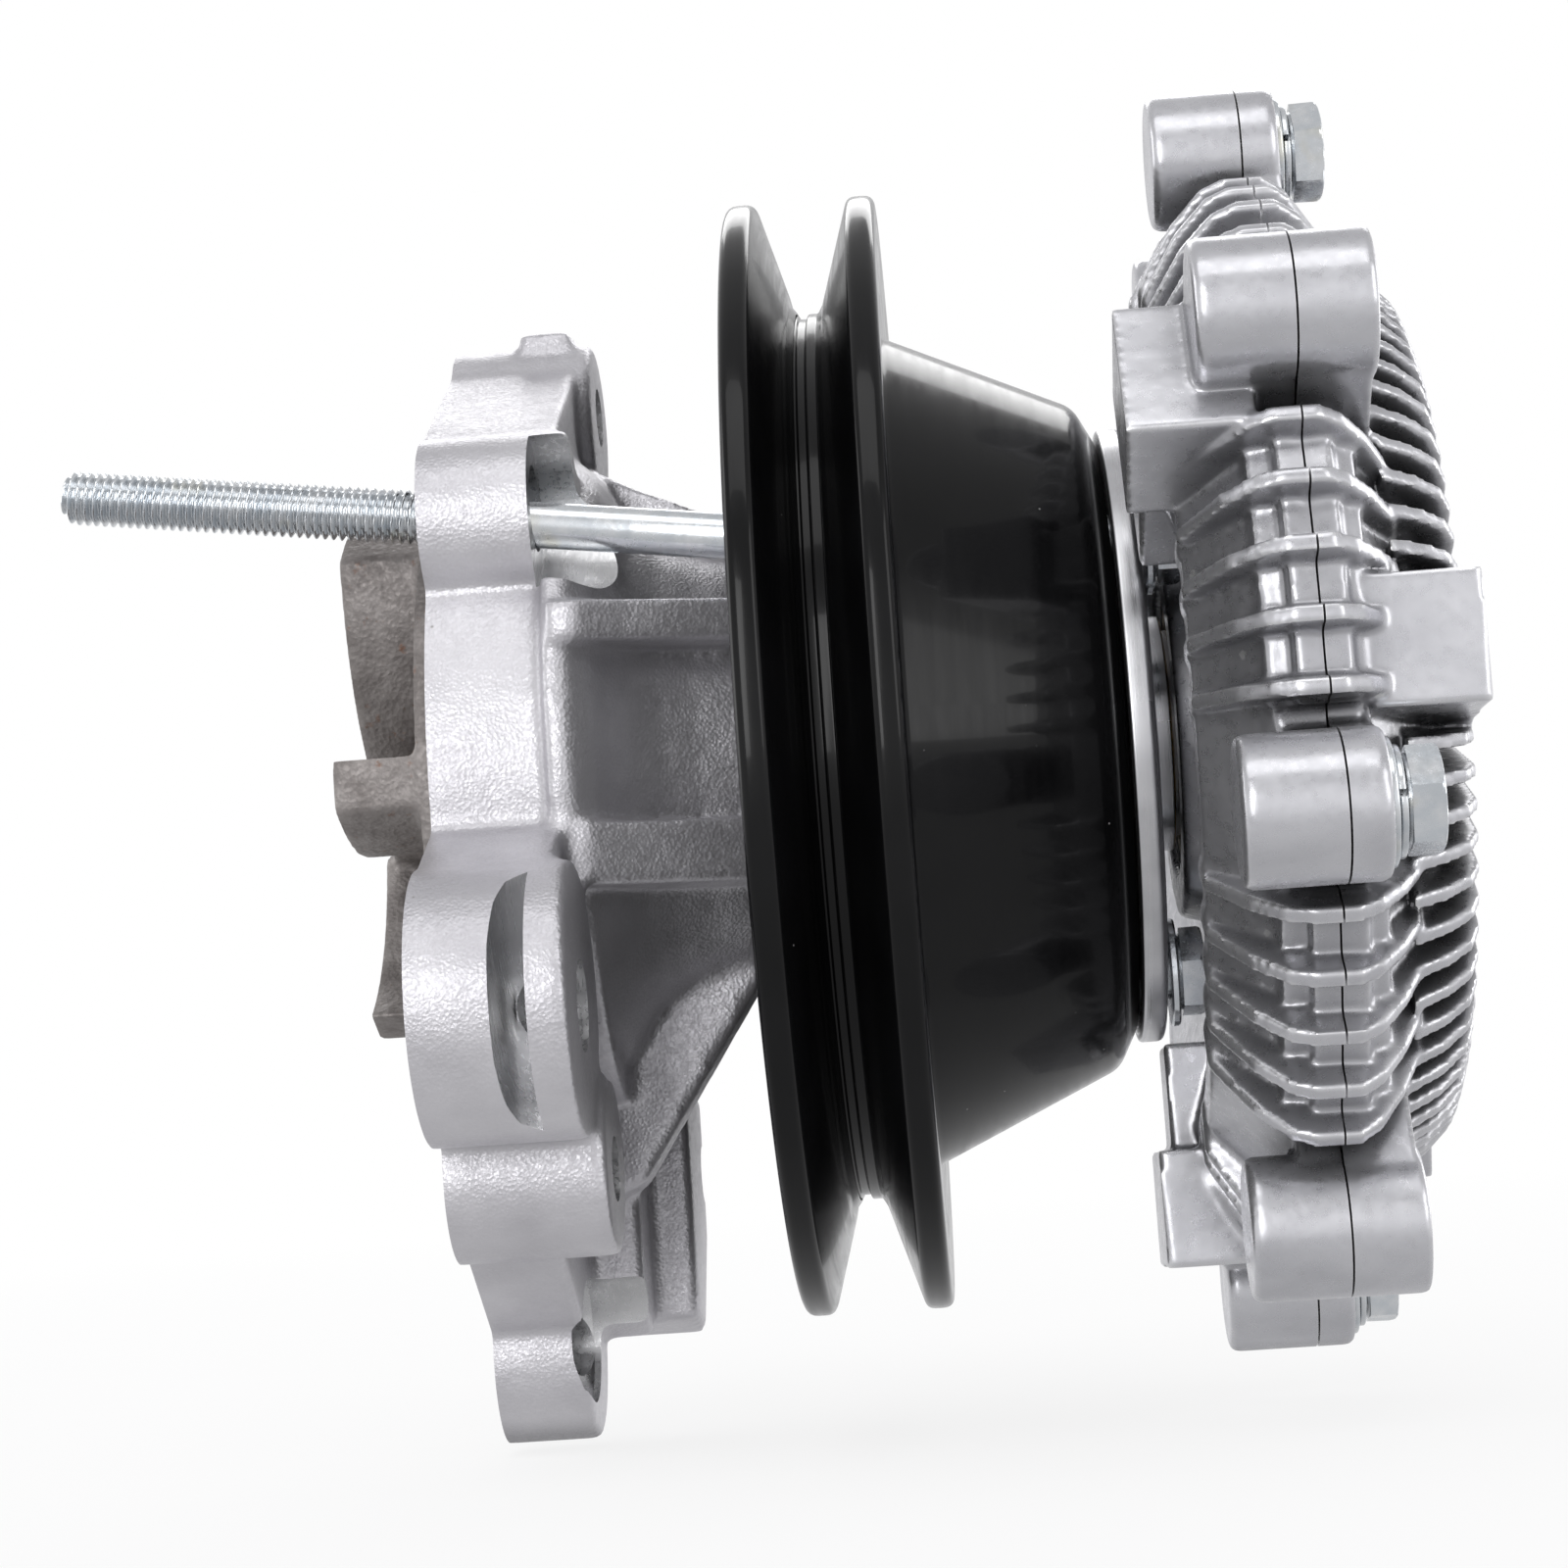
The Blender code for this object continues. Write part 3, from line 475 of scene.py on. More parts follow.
def die_cast_aluminium():
    """Die-cast skin: smooth, with faint flow marks, painted highlights on convex edges, painted
    shade in hollows and small pits.
    """
    f = Finish("die_cast_aluminium")
    flow = f.noise(0.09, 4.0, f.stretched((0.45, 1.0, 1.0)), distortion=0.5)
    colour = f.mix(f.ramp(flow, 0.35, 0.7), (0.55, 0.55, 0.58), (0.68, 0.68, 0.71))
    stains = f.ramp(f.noise(0.4, 4.0, roughness=0.6), 0.60, 0.80, 0.0, 0.22)
    colour = f.mix(stains, colour, (0.42, 0.415, 0.42))
    pits = f.ramp(f.cells(0.11), 0.008, 0.016)
    colour = f.mix(pits, (0.30, 0.29, 0.29), colour)
    # convex edges painted near-white: painted highlight
    painted_edge_highlight = f.edges(0.52, 0.58)
    colour = f.mix(painted_edge_highlight, colour, (0.90, 0.90, 0.91))
    rough = f.ramp(f.noise(0.7, 3.0), 0.3, 0.7, 0.24, 0.36)
    # base colour darkened strongly in hollows: painted shade
    f.set(Base_Color=f.painted_hollow_shade(colour, 9.0, 0.90), Metallic=0.80, Roughness=rough)
    f.bump(f.noise(0.13, 2.0), 0.25, 0.8)
    f.bump(f.noise(0.9, 2.0), 0.12, 0.12)
    f.bump(f.noise(4.0, 2.0), 0.10, 0.03)
    return f.material


def turned_metal(name, bright, dark, rough, depth=0.03):
    """Lathe-cut metal, with rings about the shaft."""
    f = Finish(name)
    rings = f.noise(1.0, 3.0, f.around(0.6))
    fine = f.noise(5.0, 2.0, f.around(0.2))
    stain = f.ramp(f.noise(0.09, 3.0), 0.35, 0.65)
    f.set(Base_Color=f.mix(stain, dark, bright), Metallic=1.0,
          Roughness=f.ramp(rings, 0.3, 0.7, rough - 0.07, rough + 0.1))
    f.bump(fine, 0.4, depth)
    return f.material


def milled_aluminium():
    """Cut faces of the castings: flat, with shallow cutter arcs."""
    f = Finish("milled_aluminium")
    swirl = f.noise(1.6, 2.0, f.around(3.0))
    tone = f.ramp(f.noise(0.12, 3.0), 0.35, 0.65)
    f.set(Base_Color=f.mix(tone, (0.62, 0.62, 0.63), (0.78, 0.78, 0.79)), Metallic=1.0,
          Roughness=f.ramp(swirl, 0.3, 0.7, 0.22, 0.38))
    f.bump(swirl, 0.3, 0.04)
    return f.material


def cast_iron():
    """Rough impeller iron, brown-grey with a little early rust."""
    f = Finish("cast_iron")
    tone = f.ramp(f.noise(0.13, 4.0, roughness=0.6), 0.3, 0.7)
    colour = f.mix(tone, (0.19, 0.172, 0.165), (0.36, 0.335, 0.325))
    rust = f.ramp(f.noise(0.35, 4.0, roughness=0.65), 0.62, 0.75)
    colour = f.mix(rust, colour, (0.24, 0.13, 0.085))
    f.set(Base_Color=colour, Metallic=0.75,
          Roughness=f.ramp(f.noise(1.2, 3.0), 0.3, 0.7, 0.42, 0.70))
    f.bump(f.noise(0.45, 3.0), 0.55, 0.6)
    f.bump(f.cells(1.3), 0.45, 0.22)
    return f.material


def black_paint():
    """Deep gloss enamel with faint orange peel and specks of dust."""
    f = Finish("black_paint")
    around = f.around(8.0)
    specks = f.ramp(f.cells(0.13), 0.012, 0.022)
    tone = f.ramp(f.noise(0.05, 3.0), 0.3, 0.7)
    colour = f.mix(tone, (0.0020, 0.0020, 0.0022), (0.005, 0.005, 0.0055))
    colour = f.mix(specks, (0.38, 0.38, 0.38), colour)
    rough = f.ramp(f.noise(0.6, 4.0, around), 0.3, 0.7, 0.13, 0.24)
    f.set(Base_Color=colour, Metallic=0.0, Roughness=rough, Coat_Weight=0.18,
          Coat_Roughness=0.05, Specular_IOR_Level=0.16)
    f.bump(f.noise(0.22, 2.0, around), 0.15, 0.25)
    f.bump(f.noise(2.2, 2.0, f.around(1.5)), 0.10, 0.03)
    return f.material


def zinc_plate():
    """Bright zinc with its slightly blue passivation."""
    f = Finish("zinc_plate")
    tone = f.ramp(f.noise(0.35, 3.0), 0.35, 0.65)
    colour = f.mix(tone, (0.76, 0.80, 0.84), (0.90, 0.92, 0.94))
    warm = f.ramp(f.noise(0.12, 2.0), 0.62, 0.8)
    colour = f.mix(warm, colour, (0.80, 0.78, 0.66))
    # base colour darkened in hollows: painted shade
    f.set(Base_Color=f.painted_hollow_shade(colour, 1.2, 0.5), Metallic=1.0,
          Roughness=f.ramp(f.noise(1.1, 3.0), 0.3, 0.7, 0.16, 0.30))
    f.bump(f.noise(2.5, 2.0), 0.15, 0.05)
    return f.material


def simple_finish(name, dark, light, metallic, rough, grain, depth):
    """Small parts: mottled colour, uneven gloss and a fine grain."""
    f = Finish(name)
    tone = f.ramp(f.noise(grain * 0.3, 3.0), 0.3, 0.7)
    f.set(Base_Color=f.mix(tone, dark, light), Metallic=metallic,
          Roughness=f.ramp(f.noise(grain, 3.0), 0.3, 0.7, rough * 0.8, rough * 1.2))
    f.bump(f.noise(grain * 2.0, 2.0), 0.3, depth)
    return f.material


MATERIALS = {
    "cast_aluminium": cast_aluminium(),
    "die_cast_aluminium": die_cast_aluminium(),
    "milled_aluminium": milled_aluminium(),
    "machined_aluminium": turned_metal("machined_aluminium", (0.76, 0.76, 0.78),
                                       (0.60, 0.60, 0.62), 0.28),
    "machined_steel": turned_metal("machined_steel", (0.50, 0.50, 0.51),
                                   (0.36, 0.36, 0.37), 0.32),
    "bearing_steel": turned_metal("bearing_steel", (0.66, 0.66, 0.67),
                                  (0.52, 0.52, 0.53), 0.20, 0.01),
    "cast_iron": cast_iron(),
    "black_paint": black_paint(),
    "zinc_plate": zinc_plate(),
    "polished_ball_steel": simple_finish("polished_ball_steel", (0.68, 0.69, 0.71),
                                         (0.78, 0.79, 0.81), 1.0, 0.07, 0.8, 0.003),
    "brass_cage": simple_finish("brass_cage", (0.50, 0.35, 0.14), (0.66, 0.48, 0.22),
                                1.0, 0.34, 1.2, 0.03),
    "stainless_sheet": simple_finish("stainless_sheet", (0.50, 0.49, 0.48),
                                     (0.66, 0.65, 0.63), 1.0, 0.28, 1.5, 0.02),
    "seal_rubber": simple_finish("seal_rubber", (0.012, 0.012, 0.012),
                                 (0.030, 0.029, 0.028), 0.0, 0.62, 2.0, 0.06),
    "seal_carbon": simple_finish("seal_carbon", (0.035, 0.035, 0.04),
                                 (0.07, 0.07, 0.075), 0.0, 0.42, 2.0, 0.02),
    "seal_ceramic": simple_finish("seal_ceramic", (0.78, 0.75, 0.69),
                                  (0.87, 0.85, 0.80), 0.0, 0.24, 1.0, 0.01),
    "spring_steel": simple_finish("spring_steel", (0.42, 0.43, 0.45),
                                  (0.58, 0.59, 0.61), 1.0, 0.26, 2.0, 0.02),
    "bimetal_strip": simple_finish("bimetal_strip", (0.46, 0.38, 0.27),
                                   (0.62, 0.54, 0.42), 1.0, 0.34, 1.5, 0.03),
}


def dress(obj, *names):
    """Give a piece its material slots; cuts take the second."""
    obj.data.materials.clear()
    for name in names:
        obj.data.materials.append(MATERIALS[name])
    return obj


def dress_nodes():
    """Every CAD node gets its record slot's finish, and balls are rounded."""
    for row in frame["record"]["subparts"]:
        node = frame["nodes"][row["node"]]
        node.data = node.data.copy() if node.data.users > 1 else node.data
        dress(node, row["material_slot"])
        if "ball" in row["node"] and "cage" not in row["node"]:
            node.modifiers.new("round", "SUBSURF").levels = 1
            node.modifiers["round"].render_levels = 2


# Pump body -------------------------------------------------------------
FLANGE_PLACE, FLANGE_R, FLANGE_T = (4.5, -3.0), 49.5, 22.0
THROUGH = (-2.0, 34.0)                   # x span of the tools for the flange's holes
LUGS = (                                 # y, z, radius, end
    (13.0, 56.5, 13.0, 21.6), (-30.0, 35.0, 12.5, 21.2), (-58.0, -36.0, 19.0, 21.4),
    (-40.0, -59.0, 12.5, 22.5), (-1.5, -86.5, 13.5, 14.0), (42.0, 36.0, 13.0, 21.0),
    (55.0, -20.0, 14.0, 20.8), (36.0, -61.0, 13.0, 20.6),
)
LUG_HOLE_R = 4.6
HOLES = (                                # y, z, radius
    (13.0, 58.0, LUG_HOLE_R), (-40.0, -59.5, LUG_HOLE_R), (-3.0, -86.0, LUG_HOLE_R),
    (43.0, 37.0, LUG_HOLE_R), (57.0, -20.5, LUG_HOLE_R), (37.0, -62.5, LUG_HOLE_R),
    (-33.0, 36.0, 6.3), (-59.0, -37.0, 6.4),
)
WEBS = (                                 # start, end, outline in y and z
    (OVERCAST, 13.6, [(-46.0, -40.0), (-42.0, -66.0), (-14.5, -83.0), (0.0, -86.0),
                      (40.0, -68.0), (50.0, -30.0), (0.0, -20.0)]),
    (OVERCAST, 18.7, [(-38.0, -8.0), (-60.0, -17.5), (-62.0, -54.0), (-30.0, -56.0)]),
    (OVERCAST, 19.4, [(-34.0, 46.0), (13.0, 69.0), (48.0, 47.0), (0.0, 20.0)]),
    (12.0, 21.7, [(-4.0, -30.0), (-4.0, -80.0), (6.0, -86.0), (26.0, -83.0),
                  (42.0, -66.0), (46.0, -30.0)]),
    (12.0, 28.4, [(12.0, -50.0), (12.0, -84.0), (24.0, -87.0), (38.0, -73.0),
                  (40.0, -50.0)]),
    (10.5, 18.5, [(5.0, 60.0), (6.0, 71.0), (20.0, 71.0), (21.0, 60.0)]),
)
RIBS = (                                 # polar angle, thickness, sideways offset
    (96.0, 9.0, 0.0), (0.0, 6.0, 17.5), (0.0, 9.0, -15.5), (180.0, 7.0, 0.0),
    (228.0, 7.0, 0.0),
)
RIB_OUTLINE = [(18.0, 14.0), (18.0, 47.0), (22.0, 47.0), (28.5, 43.5), (61.5, 29.0),
               (61.5, 14.0)]
GUSSET_ANGLE, GUSSET_T = 276.0, 8.5
GUSSET_OUTLINE = [(17.9, 16.5), (17.9, 65.5), (23.5, 63.0), (42.0, 34.8), (49.5, 24.0),
                  (49.5, 16.5)]
SNOUT = [(17.0, 0.0), (17.0, 48.0), (20.5, 47.5), (23.4, 44.5), (25.6, 40.5), (28.2, 37.0),
         (32.0, 34.2), (37.0, 32.0), (46.0, 29.6), (65.6, 26.0), (65.6, 0.0)]
SNOUT_FACE, SNOUT_CUT_R = 65.0, 40.0
BODY_BORE = [(-2.0, 43.0), (3.6, 43.0), (4.2, 42.0), (8.0, 24.5), (8.6, 18.3), (20.5, 18.3),
             (20.5, 13.5), (24.2, 13.5), (24.2, 15.3), (64.4, 15.3), (65.2, 15.9), (68.0, 15.9)]


def body_stock():
    """Everything that is cast in one with the flange, before machining."""
    stock = Stock()
    stock.rod(FLANGE_PLACE, OVERCAST, FLANGE_T, FLANGE_R, 160)
    for y, z, radius, end in LUGS:
        stock.rod((y, z), OVERCAST, end, radius, 64)
    for start, end, outline in WEBS:
        stock.prism(outline, start, end)
    stock.turned(SNOUT, 128)
    for angle, thickness, offset in RIBS:
        stock.plate(RIB_OUTLINE, angle, thickness, offset)
    return stock.plate(GUSSET_OUTLINE, GUSSET_ANGLE, GUSSET_T)


def lug_seats():
    """The long bolt's seat, the large lug's scooped pocket and the lowest lug's recess."""
    seats = Stock()
    seats.stacked([(16.0, 11.3), (40.0, 12.6)], 64, (-36.5, 35.0))
    seats.stacked([(11.0, 36.0), (11.2, 42.0), (11.9, 47.0), (13.2, 51.0), (16.0, 53.5)],
                  160, (-116.5, -37.5))
    return seats.stacked([(10.6, 1.5), (10.9, 5.0), (11.8, 7.8), (13.0, 9.2), (24.0, 9.6)],
                         64, (-7.5, -85.0))


def pump_casting():
    obj = cast("pump_casting", body_stock(), BODY_VOXEL, 14)
    dress(obj, "cast_aluminium", "milled_aluminium")
    gasket_face = Stock().prism([(-90.0, -120.0), (90.0, -120.0), (90.0, 95.0), (-90.0, 95.0)],
                                -6.0, 0.0)
    snout_face = Stock().rod((0.0, 0.0), SNOUT_FACE, SNOUT_FACE + 5.0, SNOUT_CUT_R)
    bore = Stock().stacked(BODY_BORE, 128)
    holes = Stock()
    for y, z, radius in HOLES:
        holes.stacked([(x, radius) for x in THROUGH], 48, (y, z))
    machine(obj, gasket_face, snout_face, bore, lug_seats(), holes)
    show(obj, "housing", "cast_aluminium", "pump_body")


def turned_piece(name, profile, body, slot, *nodes, segments=ROUND):
    """A piece turned about the shaft from (x, r, fillet) corners."""
    obj = Stock().turned(rounded(profile), segments).build(name)
    dress(obj, slot)
    return show(obj, body, slot, *nodes)


# Pulley ----------------------------------------------------------------
RIM_T = 4.0                              # width of a flange's rolled rim
BOWL_BORE, BOWL_FACE = 16.5, 95.4        # the bowl's inner face lies on the hub


def pulley_bowl():
    """The front flange, the groove's foot and the deep bowl, pressed as one."""
    front, lip = PULLEY_FRONT, PULLEY_BACK + RIM_T + 0.5
    bowl = [
        (BOWL_END, BOWL_BORE, 0.4), (BOWL_END, 44.5, 2.5), (95.2, 50.2, 5.0),
        (66.6, 63.2, 2.6), (front, 77.0, 3.0), (front, PULLEY_R, 1.7),
        (front - RIM_T, PULLEY_R, 1.5), (59.2, 68.6, 1.0), (58.4, GROOVE_R + 0.2, 0.5),
        (56.9, GROOVE_R + 0.2, 0.3), (56.7, GROOVE_R - 0.5, 0.2),
        (55.6, GROOVE_R - 0.5, 0.2), (55.4, GROOVE_R, 0.1), (lip, GROOVE_R, 0.2),
        (lip, 64.0, 0.3), (62.0, 61.5, 3.0), (69.5, 58.8, 3.0), (92.6, 48.2, 3.0),
        (BOWL_FACE, 44.0, 1.5), (BOWL_FACE, BOWL_BORE, 0.3)]
    turned_piece("pulley_bowl_pressing", bowl, "drive", "black_paint", "pulley_bowl")


def pulley_rear():
    back, foot = PULLEY_BACK, GROOVE_R + 0.3
    rear = [(back, PULLEY_R, 1.7), (back + RIM_T, PULLEY_R, 1.5), (53.9, 70.6, 1.2),
            (54.3, 68.6, 0.6), (55.3, foot, 0.2), (50.9, foot, 0.3), (49.2, 70.5, 2.0),
            (back, 79.0, 2.5)]
    turned_piece("pulley_rear_pressing", rear, "drive", "black_paint",
                 "pulley_rear_flange")


def pulley_hub():
    start, end, bore = 68.0, BOWL_FACE - 0.3, 8.25
    hub = [(start, bore, 0.4), (start, 15.5, 0.8), (86.0, 16.5, 2.0), (89.5, 20.0, 2.0),
           (91.0, 43.0, 0.8), (end, 43.5, 0.4), (end, bore, 0.3)]
    turned_piece("hub_turned", hub, "drive", "machined_steel", "pulley_hub")


# Bolts -----------------------------------------------------------------
BOLT_R = 3.9
HEAD_TURN = 11.0                         # how far the fixed heads are turned, in degrees


def hex_reach(degrees, flat):
    """Distance from a hexagon's centre to its side, in a direction."""
    return flat / math.cos(math.radians(degrees % 60.0 - 30.0))


def bolt_rings(sections, turn=0.0, segments=SMALL_ROUND):
    """Rings of (x, radius, flat); flat 0 is round, else half the hexagon's width."""
    rings = []
    for x, radius, flat in sections:
        ring = []
        for step in range(segments):
            angle = 360.0 * step / segments
            reach = min(radius, hex_reach(angle, flat)) if flat else radius
            ring.append((x, *polar(reach, angle + turn)))
        rings.append(ring)
    return rings


def head_sections(start, end, flat):
    """A forged hex head: washer face, chamfered corners, shallow dish."""
    corner = flat / math.cos(math.radians(30.0))
    sections = [(start, 0.94 * flat, 0), (start + 0.35, 0.96 * flat, 0),
                (start + 0.36, 0.99 * corner, flat)]
    drop = 0.62 * (corner - 0.93 * flat)
    for step in range(9):
        share = step / 8.0
        bow = math.sqrt(max(0.0, 1.0 - share * share * 0.96))
        sections.append((end - drop + drop * share, 0.93 * flat + (corner - 0.93 * flat) * bow,
                         flat))
    sections += [(end, 0.80 * flat, 0), (end - 0.22, 0.74 * flat, 0), (end - 0.3, 0.3, 0)]
    return sections


def moved(rings, place):
    """Rings about the shaft, carried to another axis."""
    return [[(x, y + place[0], z + place[1]) for x, y, z in ring] for ring in rings]


def fitted_bolt(name, node, body, head_t, flat, under_head):
    """A fixed hex bolt that fills its CAD node's box along the shaft."""
    start, end = low(node)[0], high(node)[0]
    head = end - head_t
    sections = [(start, BOLT_R - 0.6, 0), (start + 0.6, BOLT_R, 0)]
    sections += [(head + x, radius, 0) for x, radius in under_head]
    rings = bolt_rings(sections + head_sections(head, end, flat), HEAD_TURN)
    stock = Stock().rings(moved(rings, centre(node)[1:]))
    obj = dress(stock.build(name), "zinc_plate")
    show(obj, body, "zinc_plate", node, sharp=28.0)


def washers(name, node):
    """A flat washer with a split spring washer on it."""
    place = centre(node)[1:]
    first, last = low(node)[0], high(node)[0]
    middle = first + 1.1
    stock = Stock().turned(rounded([(first, 4.3, 0.2), (first, 8.4, 0.3),
                                    (middle, 8.4, 0.4), (middle, 4.3, 0.2)]), 96, place)
    section = rounded([(middle + 0.1, 4.4, 0.15), (middle + 0.1, 7.3, 0.3),
                       (last, 7.3, 0.3), (last, 4.4, 0.15)], 3)
    coil, steps = [], 96
    for step in range(steps + 1):
        angle = 8.0 + 352.0 * step / steps
        lean = 0.12 * (step / steps - 0.5)
        coil.append([(x + lean, *polar(r, angle)) for x, r in section])
    stock.rings(moved(coil, place))
    obj = dress(stock.build(name), "zinc_plate")
    show(obj, "clutch_housing", "zinc_plate", node)


def housing_bolts():
    for number in range(1, len(BOLTED) + 1):
        fitted_bolt(f"housing_bolt_hex_{number}", f"housing_bolt_{number}", "clutch_housing",
                    4.7, 6.4, [(0.0, BOLT_R)])
        washers(f"housing_washers_{number}", f"housing_washer_{number}")


def flange_bolts():
    """Bolts with a captive washer pressed up against the head."""
    washer = [(-1.5, BOLT_R), (-1.5, 7.8), (-1.2, 8.0), (-0.5, 8.0), (-0.2, 7.8), (-0.1, 6.0)]
    for number in (1, 2, 3):
        fitted_bolt(f"flange_bolt_hex_{number}", f"flange_bolt_{number}", "drive", 3.8, 5.97,
                    washer)


def thread_depth(along, degrees, pitch, depth):
    """How far a V thread is cut in at a place along and around the bolt."""
    phase = (along / pitch - degrees / 360.0) % 1.0
    wave = abs(2.0 * phase - 1.0)
    return depth * min(max((wave - 0.14) / 0.70, 0.0), 1.0)


def long_bolt():
    """The loose through bolt: rolled thread, plain shank, hex head behind the pulley."""
    pitch, depth, major, shank = 1.25, 0.72, 3.95, 3.35
    tip, runout, neck, head, end = -69.5, -4.0, 44.0, 44.2, 49.3
    axis = Vector(joint("long_bolt_slide")["axis"]).normalized()
    middle = Vector(centre("long_bolt"))
    steps = int((runout - tip) / pitch * (9))
    segments = 56
    rings = []
    for step in range(steps + 1):
        along = tip + (runout - tip) * step / steps
        fade = min(1.0, (runout - along) / 2.5)
        lead = min(0.0, along - tip - 1.3)
        ring = []
        for side in range(segments):
            angle = 360.0 * side / segments
            cut = thread_depth(along, angle, pitch, depth) * fade
            ring.append((along, *polar(max(major - cut + lead, 2.4), angle)))
        rings.append(ring)
    plain = [(runout + 0.6, major - 0.1, 0), (runout + 1.6, shank, 0), (neck - 1.0, shank, 0),
             (neck - 0.2, shank + 0.5, 0)]
    rings += bolt_rings(plain + head_sections(head, end, 6.0), 0.0, segments)
    stock = Stock().rings(rings)
    turn = Vector((1.0, 0.0, 0.0)).rotation_difference(axis).to_matrix()
    half = (tip + end) / 2.0
    stock.points = [turn @ (Vector(point) - Vector((half, 0.0, 0.0))) + middle
                    for point in stock.points]
    obj = dress(stock.build("long_bolt_threaded"), "zinc_plate")
    show(obj, "long_bolt", "zinc_plate", "long_bolt", sharp=40.0)


# Impeller --------------------------------------------------------------
FIRST_BLADE = 18.0                       # polar angle of a blade's inner end
BLADES = 6
SHAFT_R = 7.95


def blade_outline(start_angle):
    """A vane swept back from the hub, thicker towards its tip."""
    steps, sweep, inner, outer = 12, 38.0, 10.5, 41.3
    front, back = [], []
    for step in range(steps + 1):
        share = step / steps
        radius = inner + (outer - inner) * share
        angle = start_angle + sweep * share ** 0.8
        half = math.degrees((2.1 + 2.0 * share) / radius)
        front.append(polar(radius, angle - half))
        back.append(polar(radius, angle + half))
    return front + back[::-1]


def impeller():
    stock = Stock()
    stock.turned([(-12.7, 5.0), (-12.7, 11.0), (-6.0, 12.4), (-2.4, 14.5), (-2.2, 41.6),
                  (1.4, 41.6), (2.6, 12.0), (2.6, 5.0)], 128)
    for blade in range(BLADES):
        stock.prism(blade_outline(FIRST_BLADE + 360.0 / BLADES * blade), -14.3, -0.6)
    obj = cast("impeller_casting", stock, IMPELLER_VOXEL, 4)
    dress(obj, "cast_iron", "machined_steel")
    bore = Stock().stacked([(-16.0, 7.0), (-12.2, 6.9), (-11.8, 6.25), (6.0, 6.25)], 64)
    machine(obj, bore)
    show(obj, "drive", "cast_iron", "impeller")


def pump_shaft():
    """The ground shaft, with a groove for each row of balls."""
    shaft = [(-12.0, 0.0, 0.0), (-12.0, 6.0, 0.9), (2.9, 6.0, 0.2), (2.9, SHAFT_R, 0.4),
             (32.4, SHAFT_R, 0.2), (34.5, 7.3, 1.0), (36.6, SHAFT_R, 0.2),
             (52.4, SHAFT_R, 0.2), (54.5, 7.3, 1.0), (56.6, SHAFT_R, 0.2),
             (95.0, SHAFT_R, 0.8), (95.0, 0.0, 0.0)]
    turned_piece("shaft_ground", shaft, "drive", "bearing_steel", "pump_shaft", segments=96)


# Clutch ----------------------------------------------------------------
REAR_FACE, FRONT_FACE = PARTING - PARTING_GAP, PARTING + PARTING_GAP
PAST_PARTING = 1.5                       # cast this much too long, then machined flat
RIM_R, RIM_START = 78.2, 9.0             # it starts this many degrees from a boss
FIN_TIP = FIN_R + 0.4


def sectors():
    """Pairs of neighbouring boss angles, all the way round."""
    bosses = sorted(BOLTED + FAN)
    return list(zip(bosses, bosses[1:] + [bosses[0] + 360.0]))


def rim_fins():
    """Polar angles of the fins that cross the parting line."""
    angles = []
    for boss, following in sectors():
        pitch = (following - boss - 2.0 * FIRST_FIN) / (FINS_PER_SECTOR - 1)
        angles += [boss + FIRST_FIN + number * pitch for number in range(FINS_PER_SECTOR)]
    return angles


def dome_fins():
    """Fins on the front dome are closer together, and run on behind the bosses."""
    return [360.0 * number / DOME_FINS for number in range(DOME_FINS)]


def boss_places(angles):
    return [polar(BOSS_CIRCLE, angle) for angle in angles]


def plates(stock, outline, angles, thickness=None):
    for angle in angles:
        stock.plate(outline, angle, thickness)


def rims(stock, profile):
    """The raised rim along the parting line, between the bosses."""
    for boss, following in sectors():
        stock.sector(profile, boss + RIM_START, following - RIM_START, 16)


def drilled(stock, angles, profile, segments=40):
    """A tool, alike at each of the bosses at these angles."""
    for place in boss_places(angles):
        stock.stacked(profile, segments, place)
    return stock


def clutch_shaft():
    profile = [(98.5, 0.0, 0.0), (98.5, 46.5, 0.6), (102.2, 46.5, 1.2), (102.6, 19.6, 1.0),
               (103.6, 17.8, 0.6), (106.0, 17.8, 0.3), (106.0, 15.6, 0.3), (107.2, 15.6, 0.3),
               (107.2, 12.2, 0.3), (118.9, 12.2, 0.3), (118.9, 9.7, 0.3), (126.4, 9.7, 0.4),
               (126.4, 0.0, 0.0)]
    turned_piece("clutch_shaft_turned", profile, "drive", "machined_aluminium",
                 "clutch_shaft")


def rear_half_stock():
    beyond = REAR_FACE + PAST_PARTING
    stock = Stock()
    stock.turned([(beyond, 66.0), (116.6, 66.0), (116.6, 30.0), (119.6, 28.5), (119.6, 21.5),
                  (106.2, 21.5), (106.2, 28.0), (110.0, 29.0), (110.0, 46.5), (106.2, 59.0),
                  (106.2, 64.0), (116.0, CORE_R), (beyond, CORE_R)], 192)
    rims(stock, [(beyond, 70.0), (beyond, RIM_R), (118.9, RIM_R), (118.4, 76.4),
                 (115.0, 75.9), (114.6, 70.0)])
    for place in boss_places(BOLTED + FAN):
        stock.rod(place, beyond, 109.2, BOSS_R + MELT, 64, lead=1.2)
    plates(stock, [(beyond, 66.0), (beyond, 85.0), (116.6, 85.0), (116.6, 67.0)],
           BOLTED + FAN, 17.6)
    plates(stock, [(beyond, 72.0, 4.6), (beyond, FIN_TIP, 2.4), (118.8, FIN_TIP, 2.4),
                   (115.4, 81.0, 2.3), (110.9, 76.2, 2.2), (105.6, 67.2, 2.0),
                   (105.6, 60.0, 2.6), (111.8, 64.0, 4.2), (117.3, 71.0, 4.6)], rim_fins())
    for angle in REAR_PADS:
        stock.plate([(101.6, 47.3), (101.6, 66.0), (108.6, 66.0), (108.6, 47.3)], angle, 14.4)
        stock.plate([(99.5, 63.0), (99.5, 80.2), (116.9, 80.2), (116.9, 63.0)], angle, 22.4)
    return stock


